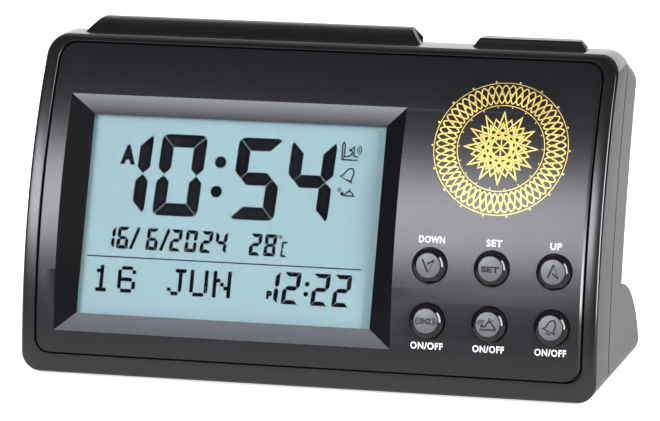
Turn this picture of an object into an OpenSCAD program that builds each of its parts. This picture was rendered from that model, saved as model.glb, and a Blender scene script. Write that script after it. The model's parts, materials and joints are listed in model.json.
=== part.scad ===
// Table clock with a large liquid crystal display, six keys beside it and two keys on top.
// X runs to the right, Y to the back and Z up. Z = 0 is the surface that the rubber feet stand on.
// The case is drawn with Y = 0 at the bottom edge of its face and Z = 0 at its flat bottom;
// stand() then moves it over the origin.

/* [Case] */
// Width of the case
case_w = 170; // [160:1:180]
// Height of the case above its flat bottom
case_h = 94; // [92:0.5:97]
// Radius of the convex front face
face_r = 164.5; // [155:0.5:175]
// Lean of the face at its bottom edge, degrees
face_lean = 1.1; // [0.5:0.1:2]
// Radius of the case corners, seen from the front
corner_r = 5.6; // [4.5:0.1:7]
// Rounding of the edge round the face
edge_r = 1.2; // [0.8:0.1:1.6]
// Wall of the case
wall = 2.2; // [1.8:0.1:2.4]
// Depth of the flat part of the top, from the bottom edge of the face
top_flat_y = 41.5; // [40:0.5:43]
// Fall of the rear part of the top, degrees
top_fall = 24; // [22:0.5:26]
// Rounding between the falling top and the back
top_back_r = 3; // [2:0.5:4]

/* [Back shell] */
// Radius of the joint line between the front frame and the back shell
seam_r = 225; // [210:1:240]
// Depth of the joint line at the bottom
seam_y = 17.2; // [16.5:0.1:18]
// Lean of the joint line at the bottom, degrees
seam_lean = 4.1; // [3.5:0.1:4.7]
// Width of the shadow line along the joint
seam_gap = 0.4; // [0.3:0.05:0.6]
// Radius of the hollow back
back_r = 380; // [340:5:420]
// Depth where the back would meet the bottom
back_y = 28.8; // [28:0.1:30]
// Lean of the back at the bottom, degrees
back_lean = 10.4; // [10:0.1:11.2]
// Radius of the foot that swells out behind
foot_r = 31; // [30.5:0.1:33]
// Depth of the foot at the bottom
foot_depth = 61.2; // [61:0.1:63]
// Distance of the foot's centre below the bottom
foot_drop = 3.5; // [3:0.1:4]

/* [Faceplate] */
// Thickness of the faceplate
plate_t = 2.2; // [1.8:0.1:2.6]
// Width of the frame to the left and right of the faceplate
rim_side = 4; // [3.5:0.1:5]
// Width of the frame below the faceplate, along the face
rim_low = 5.6; // [5:0.1:6.5]
// Height of the frame above the faceplate
rim_high = 1.8; // [1.6:0.1:2.6]
// Corner radius of the faceplate pocket
pocket_r = 4.6; // [3.5:0.1:5.5]
// Groove between the faceplate and its pocket
plate_gap = 0.45; // [0.3:0.05:0.6]
// Width of the ledge that the faceplate lies on
ledge_w = 3; // [2.5:0.1:3.4]
// Thickness of that ledge
ledge_t = 2; // [1.6:0.1:2.4]

/* [Display] */
// Left edge of the display window from the left side of the case
view_left = 16.3; // [15.8:0.1:17]
// Height of the display window
view_h = 58.4; // [56:0.2:59]
// Centre of the window along the face, from its bottom edge
view_s = 47.3; // [46.5:0.1:48]
// Depth of the window behind the face
view_depth = 5.2; // [4.8:0.1:5.8]
// Lean of the window more than the face's own, degrees
view_tilt = 2.7; // [2.2:0.1:3.2]
// Width of the sloping border beside the window
bevel_w = 6.4; // [5.5:0.1:7]
// Height of the sloping border above and below the window, along the face
bevel_h = 5.6; // [5:0.1:6]
// Room between the sloping border and the middle of the nearest keys
recess_to_key = 10.7; // [10:0.1:11.5]
// Lip that covers the edge of the clear lens
lens_lip = 2; // [1.5:0.1:2.5]
// Thickness of that lip
lip_t = 0.8; // [0.6:0.1:1.2]
// Thickness of the lens
lens_t = 1.2; // [0.8:0.1:1.6]
// Thickness of the liquid crystal cell
cell_t = 2; // [1.6:0.1:2.4]
// Height of each contact edge of the cell beyond the lens
cell_ledge = 1.4; // [1.2:0.1:1.6]
// Thickness of the light guide behind the cell
guide_t = 3; // [2:0.1:3.6]
// Room for the lamps at each end of the light guide
led_room = 3; // [2.6:0.1:3.4]
// Distance from the cell to its circuit board
zebra_h = 4.6; // [4:0.1:5]

/* [Boards] */
// Thickness of the circuit boards
board_t = 1.6; // [1:0.1:2]
// Radius of the posts under the boards
post_r = 2.2; // [2:0.1:2.4]
// Radius of the small screws in the posts
post_screw_r = 1; // [0.8:0.1:1.2]
// Radius of the chip's cover
chip_r = 9; // [8:0.1:10]
// Height of the chip's cover
chip_rise = 1.8; // [1.4:0.1:2.2]
// Radius of the quartz crystal's can
crystal_r = 1; // [0.8:0.1:1.2]
// Radius of the capacitors
capacitor_r = 3; // [2.5:0.1:3.2]
// Width of the flat cable between the boards
ribbon_w = 12; // [10:0.5:13]
// Thickness of that cable
ribbon_t = 0.6; // [0.4:0.1:0.8]
// Distance of that cable behind the key board
ribbon_back = 4; // [3.6:0.1:4.4]
// Width of the key board
keys_w = 51; // [50:0.5:52]
// Height of the key board
keys_h = 29; // [28.5:0.5:30]

/* [Keys on the face] */
// Distance between the keys of a row
key_pitch = 18; // [17:0.1:19]
// Distance between the two rows along the face
row_pitch = 15.7; // [15:0.1:16.5]
// Middle of the right-hand keys from the right side of the case
key_margin = 13; // [12.6:0.1:14]
// Middle of the keys along the face, from its bottom edge
keys_s = 29; // [28:0.1:30]
// Diameter of a key
key_d = 10; // [9:0.1:10.4]
// Height of a key above the face
key_rise = 2.1; // [1.6:0.1:2.4]
// Rounding of a key's edge
key_round = 1.5; // [1:0.1:1.6]
// Clearance round a key
key_gap = 0.2; // [0.15:0.01:0.3]
// Travel of a key
key_travel = 0.6; // [0.4:0.05:0.8]
// Distance from the face to the key board
keys_depth = 11.5; // [11:0.1:12]
// Width of a switch body
switch_w = 6; // [5.5:0.1:6.5]
// Height of a switch body
switch_h = 3.5; // [3.2:0.1:3.8]
// Diameter of a switch plunger
plunger_d = 3.4; // [3:0.1:3.6]
// Height of a plunger above its switch body
plunger_rise = 1.6; // [1.4:0.1:1.8]
// Length of a plunger inside its switch body
plunger_in = 1.6; // [1.3:0.1:1.8]

/* [Keys on top] */
// Left end of the long top key from the left side of the case
bar_inset = 9.5; // [9:0.1:11]
// Right end of the short top key from the right side of the case
cap_inset = 10.8; // [10:0.1:12]
// Room between the two top keys
top_between = 15.3; // [14:0.1:17]
// Length of the short top key
cap_len = 33.4; // [32:0.2:34]
// Front of the long top key, from the bottom edge of the face
bar_y = 36.2; // [36:0.1:37]
// Radius of the long top key's rounded back
bar_r = 8.2; // [8:0.1:8.6]
// Height of the long top key above the case
bar_rise = 4.4; // [4:0.1:5]
// Slope of the keys' ends: run out for each millimetre down
end_slope = 0.95; // [0.8:0.05:1.1]
// Front of the short top key
cap_y = 37; // [36.8:0.1:38]
// Depth of the short top key
cap_d = 12.4; // [12:0.1:13]
// Height of the short top key above the case
cap_rise = 2.9; // [2.5:0.1:3.5]
// Clearance round the top keys
top_gap = 0.25; // [0.2:0.01:0.35]
// Travel of the top keys
top_travel = 1.2; // [0.8:0.1:1.4]
// Wall of the two hollow top keys
key_wall = 1.6; // [1.2:0.1:1.8]
// Room beside the top board
top_board_side = 12.5; // [12:0.1:14]
// Depth of the top board
top_board_d = 11; // [10.5:0.1:11.5]
// Height of the top board above the bottom of the case
top_board_z = 82.4; // [82:0.1:83]
// Outer diameter of the springs under the top keys
spring_d = 5; // [4.5:0.1:5.5]

/* [Speaker] */
// Diameter of the loudspeaker
speaker_d = 50; // [46:1:52]
// Middle of the loudspeaker from the right side of the case
speaker_right = 35; // [34.5:0.5:36]
// Height of the middle of the loudspeaker
speaker_z = 58; // [57:0.5:59]
// Wall of the loudspeaker's basket
basket_t = 0.8; // [0.6:0.1:1]
// Thickness of its cone
cone_t = 0.6; // [0.4:0.1:0.7]
// Width of a grille slot
slot_w = 1.8; // [1.4:0.1:2.2]
// Distance between grille slots
slot_pitch = 4.2; // [3.8:0.1:5]

/* [Batteries] */
// Diameter of a battery
cell_d = 14.5; // [14:0.1:14.5]
// Length of a battery
cell_len = 50.5; // [49:0.5:51]
// Height of a battery's middle above the bottom of the case
cell_z = 10.2; // [10.2:0.1:10.4]
// Middle of the rear battery, from the bottom edge of the face
cell_y = 46.6; // [46:0.1:46.8]
// Room at the end of a battery for its spring
spring_room = 5.5; // [4.5:0.1:6.5]
// Width of the battery door
door_w = 64; // [62:0.5:68]
// Thickness of the battery door
door_t = 2; // [1.6:0.1:2]
// Clearance round the battery door
door_gap = 0.25; // [0.2:0.01:0.35]

/* [Fasteners and feet] */
// Radius of the screw columns inside the case
column_r = 4.4; // [4.2:0.1:4.8]
// Radius of a case screw
screw_r = 1.5; // [1.3:0.1:1.7]
// Radius of a case screw's head
head_r = 2.7; // [2.5:0.1:2.9]
// How far a screw column runs into the side wall
column_bite = 0.6; // [0.4:0.1:1]
// Diameter of a rubber foot
pad_d = 9; // [8:0.1:10]
// Height of a rubber foot below the case
pad_h = 1; // [0.8:0.1:1.5]

/* [Hidden] */

// Facets of the large arcs and of the small rounds
big_fn = 720;
$fn = 48;
// Long enough to pass through the whole case
far = 200;

// Centres of the arcs in the side view
face_c = [face_r * cos(face_lean), -face_r * sin(face_lean)];
seam_c = [seam_y + seam_r * cos(seam_lean), -seam_r * sin(seam_lean)];
back_c = [back_y + back_r * cos(back_lean), -back_r * sin(back_lean)];
foot_c = [foot_depth - sqrt(foot_r * foot_r - foot_drop * foot_drop), -foot_drop];

// Lean of the face, and the point on it, at a distance along the face from its bottom edge
function lean_at(s) = face_lean + s / face_r * 180 / PI;
function face_at(s, depth = 0) = face_c + (face_r - depth) * [-cos(lean_at(s)), sin(lean_at(s))];
// Depth of an arc's front side at a height
function arc_y(c, r, z) = c[0] - sqrt(r * r - (z - c[1]) * (z - c[1]));

// Pocket of the faceplate
pocket_w = case_w - 2 * rim_side;
pocket_low = face_at(rim_low)[1];
pocket_high = case_h - rim_high;

// Window of the display, between the left side and the keys
view_w = case_w - view_left - bevel_w - recess_to_key - 2 * key_pitch - key_margin;
view_x = case_w / 2 - view_left - view_w / 2;
recess_low = view_s - view_h / 2 - bevel_h;
recess_high = view_s + view_h / 2 + bevel_h;
view_lean = lean_at(view_s) + view_tilt;
view_c = face_at(view_s, view_depth);
lens_w = view_w + 2 * lens_lip;
lens_h = view_h + 2 * lens_lip;
cell_h = lens_h + 2 * cell_ledge;
lens_z = -lip_t;
lcd_z = lens_z - lens_t;
main_z = lcd_z - cell_t - zebra_h;
zebra_y = lens_h / 2 + 0.2;
zebra_t = 2.4;
zebra_w = view_w - 8;
holder_w = lens_w + 3.4;
holder_h = cell_h + 4.6;
main_w = holder_w;
main_post = [main_w / 2 - post_r - 0.8, cell_h / 2 + post_r + 0.2];
main_h = 2 * (main_post[1] + post_r + 1);

// Keys on the face: all move along the normal at their middle
keys_x = case_w / 2 - key_margin - key_pitch;
keys_back = -keys_depth - board_t;
chip_dome_r = (chip_r * chip_r * 0.92 + chip_rise * chip_rise) / 2 / chip_rise;
keys_lean = lean_at(keys_s);
keys_c = face_at(keys_s);
key_sag = row_pitch * row_pitch / 8 / face_r;
row_y = [row_pitch / 2, -row_pitch / 2];
key_flange_z = -plate_t - key_sag - 0.35;
key_flange_t = 0.8;
plunger_top = -keys_depth + switch_h + plunger_rise;
key_post = [key_pitch / 2, keys_h / 2 - post_r - 0.1];

// Foremost point of the lower keys, and the middle of the whole clock from front to back
key_front = keys_c[0] - (key_rise - key_sag - key_round) * cos(keys_lean) - key_round
    - (row_pitch / 2 + key_d / 2 - key_round) * sin(keys_lean);
middle_y = (foot_depth + min(0, key_front)) / 2;

// Keys on top
bar_c = [bar_y + sqrt(bar_r * bar_r - (bar_r - bar_rise) * (bar_r - bar_rise)), case_h + bar_rise - bar_r];
bar_back = bar_c[0] + bar_r;
key_bottom_z = case_h - wall - 1.4;
tab_len = 2;
tab_y = bar_y + 1.6;
tab_d = 3;
top_switch_z = top_board_z + board_t + switch_h;
top_plunger_z = top_switch_z + plunger_rise;
bar_len = case_w - bar_inset - top_between - cap_len - cap_inset;
bar_x = (bar_len - case_w) / 2 + bar_inset;
cap_x = case_w / 2 - cap_inset - cap_len / 2;
bar_spring_x = [bar_x - 0.38 * bar_len, bar_x + 0.38 * bar_len];
cap_spring_x = [cap_x - cap_len / 3, cap_x + cap_len / 3];
top_board_w = case_w - 2 * top_board_side;
top_axis_y = bar_y + 7;
slot_low = key_bottom_z - (bar_back - top_flat_y) * tan(top_fall) - top_travel - 0.3;

// Loudspeaker, square to the back wall
speaker_lean = asin((speaker_z - back_c[1]) / back_r);
speaker_y = arc_y(back_c, back_r + wall, speaker_z);
speaker_seat = 0.3;
speaker_x = case_w / 2 - speaker_right;

// Batteries and their door
front_cell_y = cell_y - cell_d - 0.5;
tray_len = cell_len + spring_room + 1;
door_low = 4;
door_a0 = asin((door_low + foot_drop) / foot_r);
door_a1 = 76;
hinge_r = 1.2;
hinge_c = foot_c + (foot_r - hinge_r) * [cos(door_a0), sin(door_a0)];

// Screws of the case: left and right, low and high
screw_x = case_w / 2 - wall - column_r + column_bite;
screw_low = wall + column_r - 0.3;
screw_high = 78;

// ---------- placing ----------

module stand() {
    translate([0, -middle_y, pad_h])
        children();
}

// Draws a side view, with Y to the right and Z up, across the width
module across(w) {
    rotate([90, 0, 90])
        linear_extrude(w, center = true)
            children();
}

// Draws a front view, with X to the right and Z up, through the whole depth
module through() {
    translate([0, far / 2, 0])
        rotate([90, 0, 0])
            linear_extrude(far)
                children();
}

module round_rect(w, low, high, r) {
    translate([-w / 2 + r, low])
        square([w - 2 * r, high - low]);
    translate([-w / 2, low + r])
        square([w, high - low - 2 * r]);
    for (x = [-1, 1], z = [low + r, high - r])
        translate([x * (w / 2 - r), z])
            circle(r - 0.01);
}

module face_drum(r, w) {
    translate([0, face_c[0], face_c[1]])
        rotate([0, 90, 0])
            cylinder(r = r, h = w, center = true, $fn = big_fn);
}

module seam_drum(r) {
    translate([0, seam_c[0], seam_c[1]])
        rotate([0, 90, 0])
            cylinder(r = r, h = case_w + 20, center = true, $fn = big_fn);
}

// Local frames: X to the right, Y up the slope, Z out of the surface
module at_window() {
    translate([-view_x, view_c[0], view_c[1]])
        rotate([90 - view_lean, 0, 0])
            children();
}

module at_keys() {
    translate([keys_x, keys_c[0], keys_c[1]])
        rotate([90 - keys_lean, 0, 0])
            children();
}

module at_key(column, row) {
    at_keys()
        translate([(column - 1) * key_pitch, row_y[row], -key_sag])
            children();
}

// Z points out of the back wall
module at_speaker() {
    translate([speaker_x, speaker_y, speaker_z])
        rotate([-90 - speaker_lean, 0, 0])
            children();
}

module slab(w, h, z0, z1) {
    translate([-w / 2, -h / 2, z0])
        cube([w, h, z1 - z0]);
}

module post(x, y, r, z0, z1) {
    translate([x, y, z0])
        cylinder(r = r, h = z1 - z0);
}

// ---------- case ----------

// Everything above and behind the falling top, in the side view
module above_top(inset) {
    translate([top_flat_y, case_h])
        rotate(-top_fall)
            translate([-far, -inset])
                square([2 * far, far]);
}

// Rounding between the falling top and the back arc
top_u = [cos(top_fall), -sin(top_fall)];
top_n = [-sin(top_fall), -cos(top_fall)];
top_f = [top_flat_y, case_h];
round_d = top_f + top_n * top_back_r - back_c;
round_t = -(round_d * top_u)
    - sqrt(pow(round_d * top_u, 2) - round_d * round_d + pow(back_r + top_back_r, 2));
round_c = top_f + top_n * top_back_r + top_u * round_t;

// Side view without the front face, which face_drum cuts
module side_view(inset) {
    difference() {
        union() {
            difference() {
                translate([-20, inset])
                    square([120, case_h - 2 * inset]);
                translate(back_c)
                    circle(back_r + inset, $fn = big_fn);
            }
            intersection() {
                translate(foot_c)
                    circle(foot_r - inset, $fn = big_fn);
                translate([0, inset])
                    square([100, 60]);
            }
        }
        above_top(inset);
    }
}

// Outer side view, with the corner between the top and the back rounded
module outer_side_view() {
    out = round_c + 2.4 * top_back_r * (top_u * 0.7 - top_n * 0.7);
    difference() {
        side_view(0);
        polygon([
            round_c, round_c - top_n * 1.6 * top_back_r, out,
            round_c + (back_c - round_c) / norm(back_c - round_c) * 1.6 * top_back_r
        ]);
    }
    translate(round_c)
        circle(top_back_r - 0.01);
}

module corner_tool(inset) {
    through()
        round_rect(case_w - 2 * inset, inset, case_h - inset, corner_r - inset);
}

// The same corners along the falling top
module fall_tool(inset) {
    translate([0, top_flat_y, case_h])
        rotate([-top_fall, 0, 0])
            through()
                round_rect(case_w - 2 * inset, -far, -inset, corner_r - inset);
}

// Drum with the face as its rim, and the rounded side edges of the face
module face_wheel() {
    translate([0, face_c[0], face_c[1]])
        rotate([0, 90, 0])
            rotate_extrude($fn = big_fn) {
                translate([0, -case_w / 2])
                    square([face_r - edge_r, case_w]);
                translate([0, -case_w / 2 + edge_r])
                    square([face_r, case_w - 2 * edge_r]);
                for (side = [-1, 1])
                    translate([face_r - edge_r, side * (case_w / 2 - edge_r)])
                        circle(edge_r, $fn = 32);
            }
}

module case_outside() {
    intersection() {
        face_wheel();
        across(case_w)
            outer_side_view();
        corner_tool(0);
        fall_tool(0);
    }
}

module case_inside() {
    intersection() {
        across(case_w - 2 * wall)
            side_view(wall);
        corner_tool(wall);
        fall_tool(wall);
    }
}

// Holes for the two top keys
module top_slots() {
    translate([bar_x - bar_len / 2 - top_gap, bar_y - top_gap, slot_low])
        cube([bar_len + 2 * top_gap, bar_back - bar_y + 2 * top_gap, 20]);
    translate([cap_x - cap_len / 2 - top_gap, cap_y - top_gap, slot_low])
        cube([cap_len + 2 * top_gap, cap_d + 2 * top_gap, 20]);
}

module screw_axis(x, z, y) {
    translate([x, y, z])
        rotate([-90, 0, 0])
            children();
}

column_y = [arc_y(seam_c, seam_r, screw_low), arc_y(seam_c, seam_r, screw_high)];
head_y = [column_y[0] + 8, column_y[1] + 6];
// Ribs that carry the top board: two stand on either side of the loudspeaker
rib_t = 2;
rib_x = [
    -0.42 * top_board_w, 0,
    speaker_x - 0.32 * speaker_d - rib_t, speaker_x + 0.32 * speaker_d + rib_t / 2
];

module front_frame() {
    color([0.13, 0.13, 0.14])
        stand()
            difference() {
                union() {
                    difference() {
                        case_outside();
                        intersection() {
                            case_inside();
                            face_drum(face_r - plate_t - ledge_t, case_w);
                        }
                    }
                    // Columns that the case screws turn into
                    for (side = [-1, 1], k = [0, 1])
                        intersection() {
                            screw_axis(side * screw_x, [screw_low, screw_high][k], 0)
                                cylinder(r = column_r, h = column_y[k] + column_r);
                            face_drum(face_r - plate_t - ledge_t / 2, case_w);
                            case_outside();
                        }
                }
                seam_drum(seam_r);
                // Pocket of the faceplate and the opening inside its ledge
                difference() {
                    through()
                        round_rect(pocket_w, pocket_low, pocket_high, pocket_r);
                    face_drum(face_r - plate_t, case_w + 2);
                }
                difference() {
                    through()
                        round_rect(pocket_w - 2 * ledge_w, pocket_low + ledge_w, pocket_high - ledge_w,
                                   pocket_r - 1);
                    face_drum(face_r - plate_t - ledge_t - 3, case_w + 2);
                }
                top_slots();
                for (side = [-1, 1], k = [0, 1])
                    screw_axis(side * screw_x, [screw_low, screw_high][k], column_y[k] - 10)
                        cylinder(r = screw_r, h = 20);
            }
}

// Speaker slots, through the back wall
module grille() {
    count = floor((speaker_d / 2 - 5) / slot_pitch);
    for (k = [-count:count]) {
        half = sqrt(pow(speaker_d / 2 - 4, 2) - pow(k * slot_pitch, 2)) - slot_w / 2;
        at_speaker()
            translate([0, k * slot_pitch, -4]) {
                slab(2 * half, slot_w, 0, 14);
                for (side = [-1, 1])
                    post(side * half, 0, slot_w / 2, 0, 14);
            }
    }
}

// Outline of the battery door in the side view, as a ring segment of the foot
module door_segment(a0, a1, r0, r1) {
    difference() {
        intersection() {
            translate(foot_c)
                circle(r1, $fn = big_fn);
            polygon([
                foot_c, foot_c + far * [cos(a0), sin(a0)],
                foot_c + far * [cos((a0 + a1) / 2), sin((a0 + a1) / 2)],
                foot_c + far * [cos(a1), sin(a1)]
            ]);
        }
        translate(foot_c)
            circle(r0, $fn = big_fn);
    }
}

gap_angle = door_gap / foot_r * 180 / PI;

module back_shell() {
    color([0.2, 0.2, 0.22])
        stand()
            difference() {
                union() {
                    difference() {
                        intersection() {
                            case_outside();
                            seam_drum(seam_r);
                        }
                        case_inside();
                    }
                    // Columns round the case screws
                    intersection() {
                        for (side = [-1, 1], k = [0, 1])
                            screw_axis(side * screw_x, [screw_low, screw_high][k], column_y[k] - column_r)
                                cylinder(r = column_r, h = foot_depth);
                        case_outside();
                        seam_drum(seam_r);
                    }
                    // Ribs under the top board
                    intersection() {
                        for (x = rib_x)
                            translate([x - rib_t / 2, top_axis_y, top_board_z - 2 * rib_t])
                                cube([rib_t, 2 * top_board_d, 2 * rib_t]);
                        case_outside();
                    }
                }
                // Shadow line along the joint with the front frame
                difference() {
                    difference() {
                        seam_drum(seam_r + 1);
                        seam_drum(seam_r - seam_gap);
                    }
                    across(case_w - 1.2)
                        side_view(0.6);
                }
                // Screw heads and shanks
                for (side = [-1, 1], k = [0, 1]) {
                    screw_axis(side * screw_x, [screw_low, screw_high][k], column_y[k] - 5)
                        cylinder(r = screw_r + 0.2, h = 60);
                    screw_axis(side * screw_x, [screw_low, screw_high][k], head_y[k])
                        cylinder(r = head_r + 0.3, h = 60);
                }
                top_slots();
                grille();
                // Opening of the battery door and the round channel of its hinge
                across(door_w + 2 * door_gap)
                    door_segment(door_a0 + gap_angle, door_a1 + gap_angle, foot_r - 6, foot_r + 6);
                across(door_w + 2 * door_gap)
                    translate(hinge_c)
                        circle(hinge_r + door_gap);
            }
}

// ---------- faceplate and display ----------

// Block between a rectangle on the face and a rectangle behind it, as the sloping border needs.
// The outer ring lies at out_depth behind the face and is stretched out by a share of the slope.
module recess_block(out_w, low, high, out_depth, in_w, in_h, in_z, stretch) {
    n = 40;
    up = [sin(view_lean), cos(view_lean)];
    out = [-cos(view_lean), sin(view_lean)];
    inner = [for (i = [0:n]) view_c + out * in_z + up * in_h * (i / n - 0.5)];
    face = [for (i = [0:n]) face_at(low + (high - low) * i / n, out_depth)];
    outer = [for (i = [0:n]) face[i] + stretch * (face[i] - inner[i])];
    outer_x = out_w / 2 + stretch * (out_w - in_w) / 2;
    points = [
        for (p = outer) [-view_x - outer_x, p[0], p[1]],
        for (p = outer) [-view_x + outer_x, p[0], p[1]],
        for (p = inner) [-view_x - in_w / 2, p[0], p[1]],
        for (p = inner) [-view_x + in_w / 2, p[0], p[1]]
    ];
    m = n + 1;
    quads = [
        for (i = [0:n - 1]) [i, i + 1, m + i + 1, m + i],
        for (i = [0:n - 1]) [2 * m + i, 3 * m + i, 3 * m + i + 1, 2 * m + i + 1],
        for (i = [0:n - 1]) [2 * m + i, 2 * m + i + 1, i + 1, i],
        for (i = [0:n - 1]) [3 * m + i, m + i, m + i + 1, 3 * m + i + 1],
        [0, m, 3 * m, 2 * m],
        [n, 2 * m + n, 3 * m + n, m + n]
    ];
    polyhedron(points, [for (q = quads) each [[q[0], q[1], q[2]], [q[0], q[2], q[3]]]]);
}

module faceplate() {
    tray_w = holder_w + 0.6;
    tray_h = cell_h + 1.2;
    color([0.17, 0.17, 0.19])
        stand()
            difference() {
                union() {
                    difference() {
                        intersection() {
                            through()
                                round_rect(pocket_w - 2 * plate_gap, pocket_low + plate_gap,
                                           pocket_high - plate_gap, pocket_r - plate_gap);
                            face_drum(face_r, case_w);
                        }
                        face_drum(face_r - plate_t, case_w + 2);
                    }
                    // Walls and floor of the display recess
                    recess_block(view_w + 2 * bevel_w + 3.2, recess_low - 1.6, recess_high + 1.6, 1,
                                 tray_w, tray_h, lcd_z, 0);
                    // Posts of the two boards
                    intersection() {
                        union() {
                            at_window()
                                for (x = [-1, 1], y = [-1, 1])
                                    post(x * main_post[0], y * main_post[1], post_r, main_z, 8);
                            at_keys()
                                for (x = [-1, 1], y = [-1, 1])
                                    post(x * key_post[0], y * key_post[1], post_r, -keys_depth, 2);
                        }
                        face_drum(face_r - 1, case_w);
                    }
                }
                recess_block(view_w + 2 * bevel_w, recess_low, recess_high, 0, view_w, view_h, 0, 0.25);
                at_window() {
                    slab(view_w, view_h, -5, 2);
                    slab(lens_w + 0.4, lens_h + 0.4, lcd_z - 2, lens_z);
                    for (x = [-1, 1], y = [-1, 1])
                        post(x * main_post[0], y * main_post[1], post_screw_r, main_z - 1, main_z + 5);
                }
                at_keys()
                    for (x = [-1, 1], y = [-1, 1])
                        post(x * key_post[0], y * key_post[1], post_screw_r,
                             -keys_depth - 1, -keys_depth + 5);
                for (column = [0:2], row = [0, 1])
                    at_key(column, row)
                        post(0, 0, key_d / 2 + key_gap, -plate_t - 2, 3);
            }
}

module lcd_lens() {
    color([0.75, 0.85, 0.86, 0.4])
        stand()
            at_window()
                slab(lens_w, lens_h, lcd_z, lens_z);
}

module lcd_cell() {
    color([0.66, 0.8, 0.82])
        stand()
            at_window()
                slab(lens_w, cell_h, lcd_z - cell_t, lcd_z);
}

module lcd_holder() {
    color([0.85, 0.85, 0.83])
        stand()
            intersection() {
                at_window()
                    difference() {
                        slab(holder_w, holder_h, main_z, lcd_z);
                        slab(lens_w + 0.4, cell_h + 0.4, lcd_z - cell_t, lcd_z + 1);
                        slab(view_w + 0.4, view_h + 0.4, main_z - 1, lcd_z);
                        for (side = [-1, 1])
                            translate([0, side * zebra_y, 0])
                                slab(zebra_w + 0.4, zebra_t + 0.2, main_z - 1, lcd_z);
                        for (x = [-1, 1], y = [-1, 1])
                            post(x * main_post[0], y * main_post[1], post_r + 0.3, main_z - 1, lcd_z + 1);
                    }
                face_drum(face_r - plate_t - 0.2, case_w);
            }
}

module zebra_strips() {
    color([0.9, 0.45, 0.5])
        stand()
            at_window()
                for (side = [-1, 1])
                    translate([0, side * zebra_y, 0])
                        slab(zebra_w, zebra_t, main_z, lcd_z - cell_t);
}

module light_guide() {
    color([0.92, 0.95, 0.95])
        stand()
            at_window()
                slab(view_w - 2 * led_room, view_h, lcd_z - cell_t - guide_t, lcd_z - cell_t);
}

module backlight_leds() {
    color([0.95, 0.9, 0.6])
        stand()
            at_window()
                for (side = [-1, 1], k = [-1:1])
                    translate([side * (view_w - led_room) / 2, k * 0.28 * view_h, 0])
                        slab(0.8 * led_room, 0.07 * view_h, main_z, main_z + 0.8 * led_room);
}

module main_board() {
    color([0.1, 0.35, 0.18])
        stand()
            at_window()
                difference() {
                    slab(main_w, main_h, main_z - board_t, main_z);
                    for (x = [-1, 1], y = [-1, 1])
                        post(x * main_post[0], y * main_post[1], post_screw_r + 0.2, main_z - 3, main_z + 1);
                }
}

module on_main_back(x, y, w, h, t) {
    at_window()
        translate([x, y, 0])
            slab(w, h, main_z - board_t - t, main_z - board_t);
}

module clock_chip() {
    color([0.05, 0.05, 0.05])
        stand()
            at_window()
                translate([main_w / 16, main_h / 10, main_z - board_t])
                    mirror([0, 0, 1])
                        rotate_extrude()
                            intersection() {
                                translate([0, chip_rise - chip_dome_r])
                                    circle(chip_dome_r, $fn = 128);
                                square([chip_r, chip_rise + 1]);
                            }
}

module quartz_crystal() {
    color([0.8, 0.8, 0.82])
        stand()
            at_window()
                translate([main_w / 4, -main_h / 20, main_z - board_t - crystal_r])
                    rotate([0, 90, 0])
                        cylinder(r = crystal_r, h = 6 * crystal_r);
}

// Buzzer driver, resistors, capacitors and the battery plug on the main board's back
module board_parts() {
    color([0.6, 0.5, 0.35])
        stand() {
            on_main_back(-main_w / 5, main_h / 5, main_w / 10, main_h / 12, board_t);
            for (k = [0:3])
                on_main_back((k - 1.5) * main_w / 20, -main_h / 6, main_w / 40, main_h / 50, board_t / 2);
            at_window()
                for (k = [0, 1])
                    post(-main_w / 3 + k * 3 * capacitor_r, -main_h / 6, capacitor_r,
                         main_z - board_t - 2.4 * capacitor_r, main_z - board_t);
            on_main_back(main_w / 3, main_h / 3.4, main_w / 12, main_h / 24, 2 * board_t);
        }
}

// ---------- keys on the face ----------

module key_cap(column, row) {
    r = key_d / 2;
    color([0.08, 0.08, 0.09])
        stand()
            at_key(column, row) {
                rotate_extrude() {
                    translate([0, key_flange_z])
                        square([r, key_rise - key_round - key_flange_z]);
                    translate([0, key_rise - key_round - 0.1])
                        square([r - key_round, key_round + 0.1]);
                    intersection() {
                        translate([r - key_round, key_rise - key_round])
                            circle(key_round, $fn = 32);
                        square([r, key_rise + 1]);
                    }
                }
                post(0, 0, r + 1, key_flange_z - key_flange_t, key_flange_z);
                post(0, 0, 2, plunger_top + key_sag, key_flange_z);
            }
}

module switch_body(travel) {
    difference() {
        slab(switch_w, switch_w, 0, switch_h);
        post(0, 0, plunger_d / 2 + 0.1, switch_h - plunger_in - travel - 0.1, switch_h + 1);
    }
}

// A plunger stands on its switch's snap dome, with room for its travel
module plunger(column, row) {
    color([0.1, 0.1, 0.1])
        stand()
            at_key(column, row)
                post(0, 0, plunger_d / 2, plunger_top + key_sag - plunger_rise - plunger_in,
                     plunger_top + key_sag);
}

module key_switches() {
    color([0.25, 0.25, 0.27])
        stand()
            for (column = [0:2], row = [0, 1])
                at_keys()
                    translate([(column - 1) * key_pitch, row_y[row], -keys_depth])
                        switch_body(key_travel);
}

module key_board() {
    color([0.1, 0.35, 0.18])
        stand()
            at_keys()
                difference() {
                    slab(keys_w, keys_h, -keys_depth - board_t, -keys_depth);
                    for (x = [-1, 1], y = [-1, 1])
                        post(x * key_post[0], y * key_post[1], post_screw_r + 0.2, -keys_depth - 3, 0);
                }
}

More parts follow.
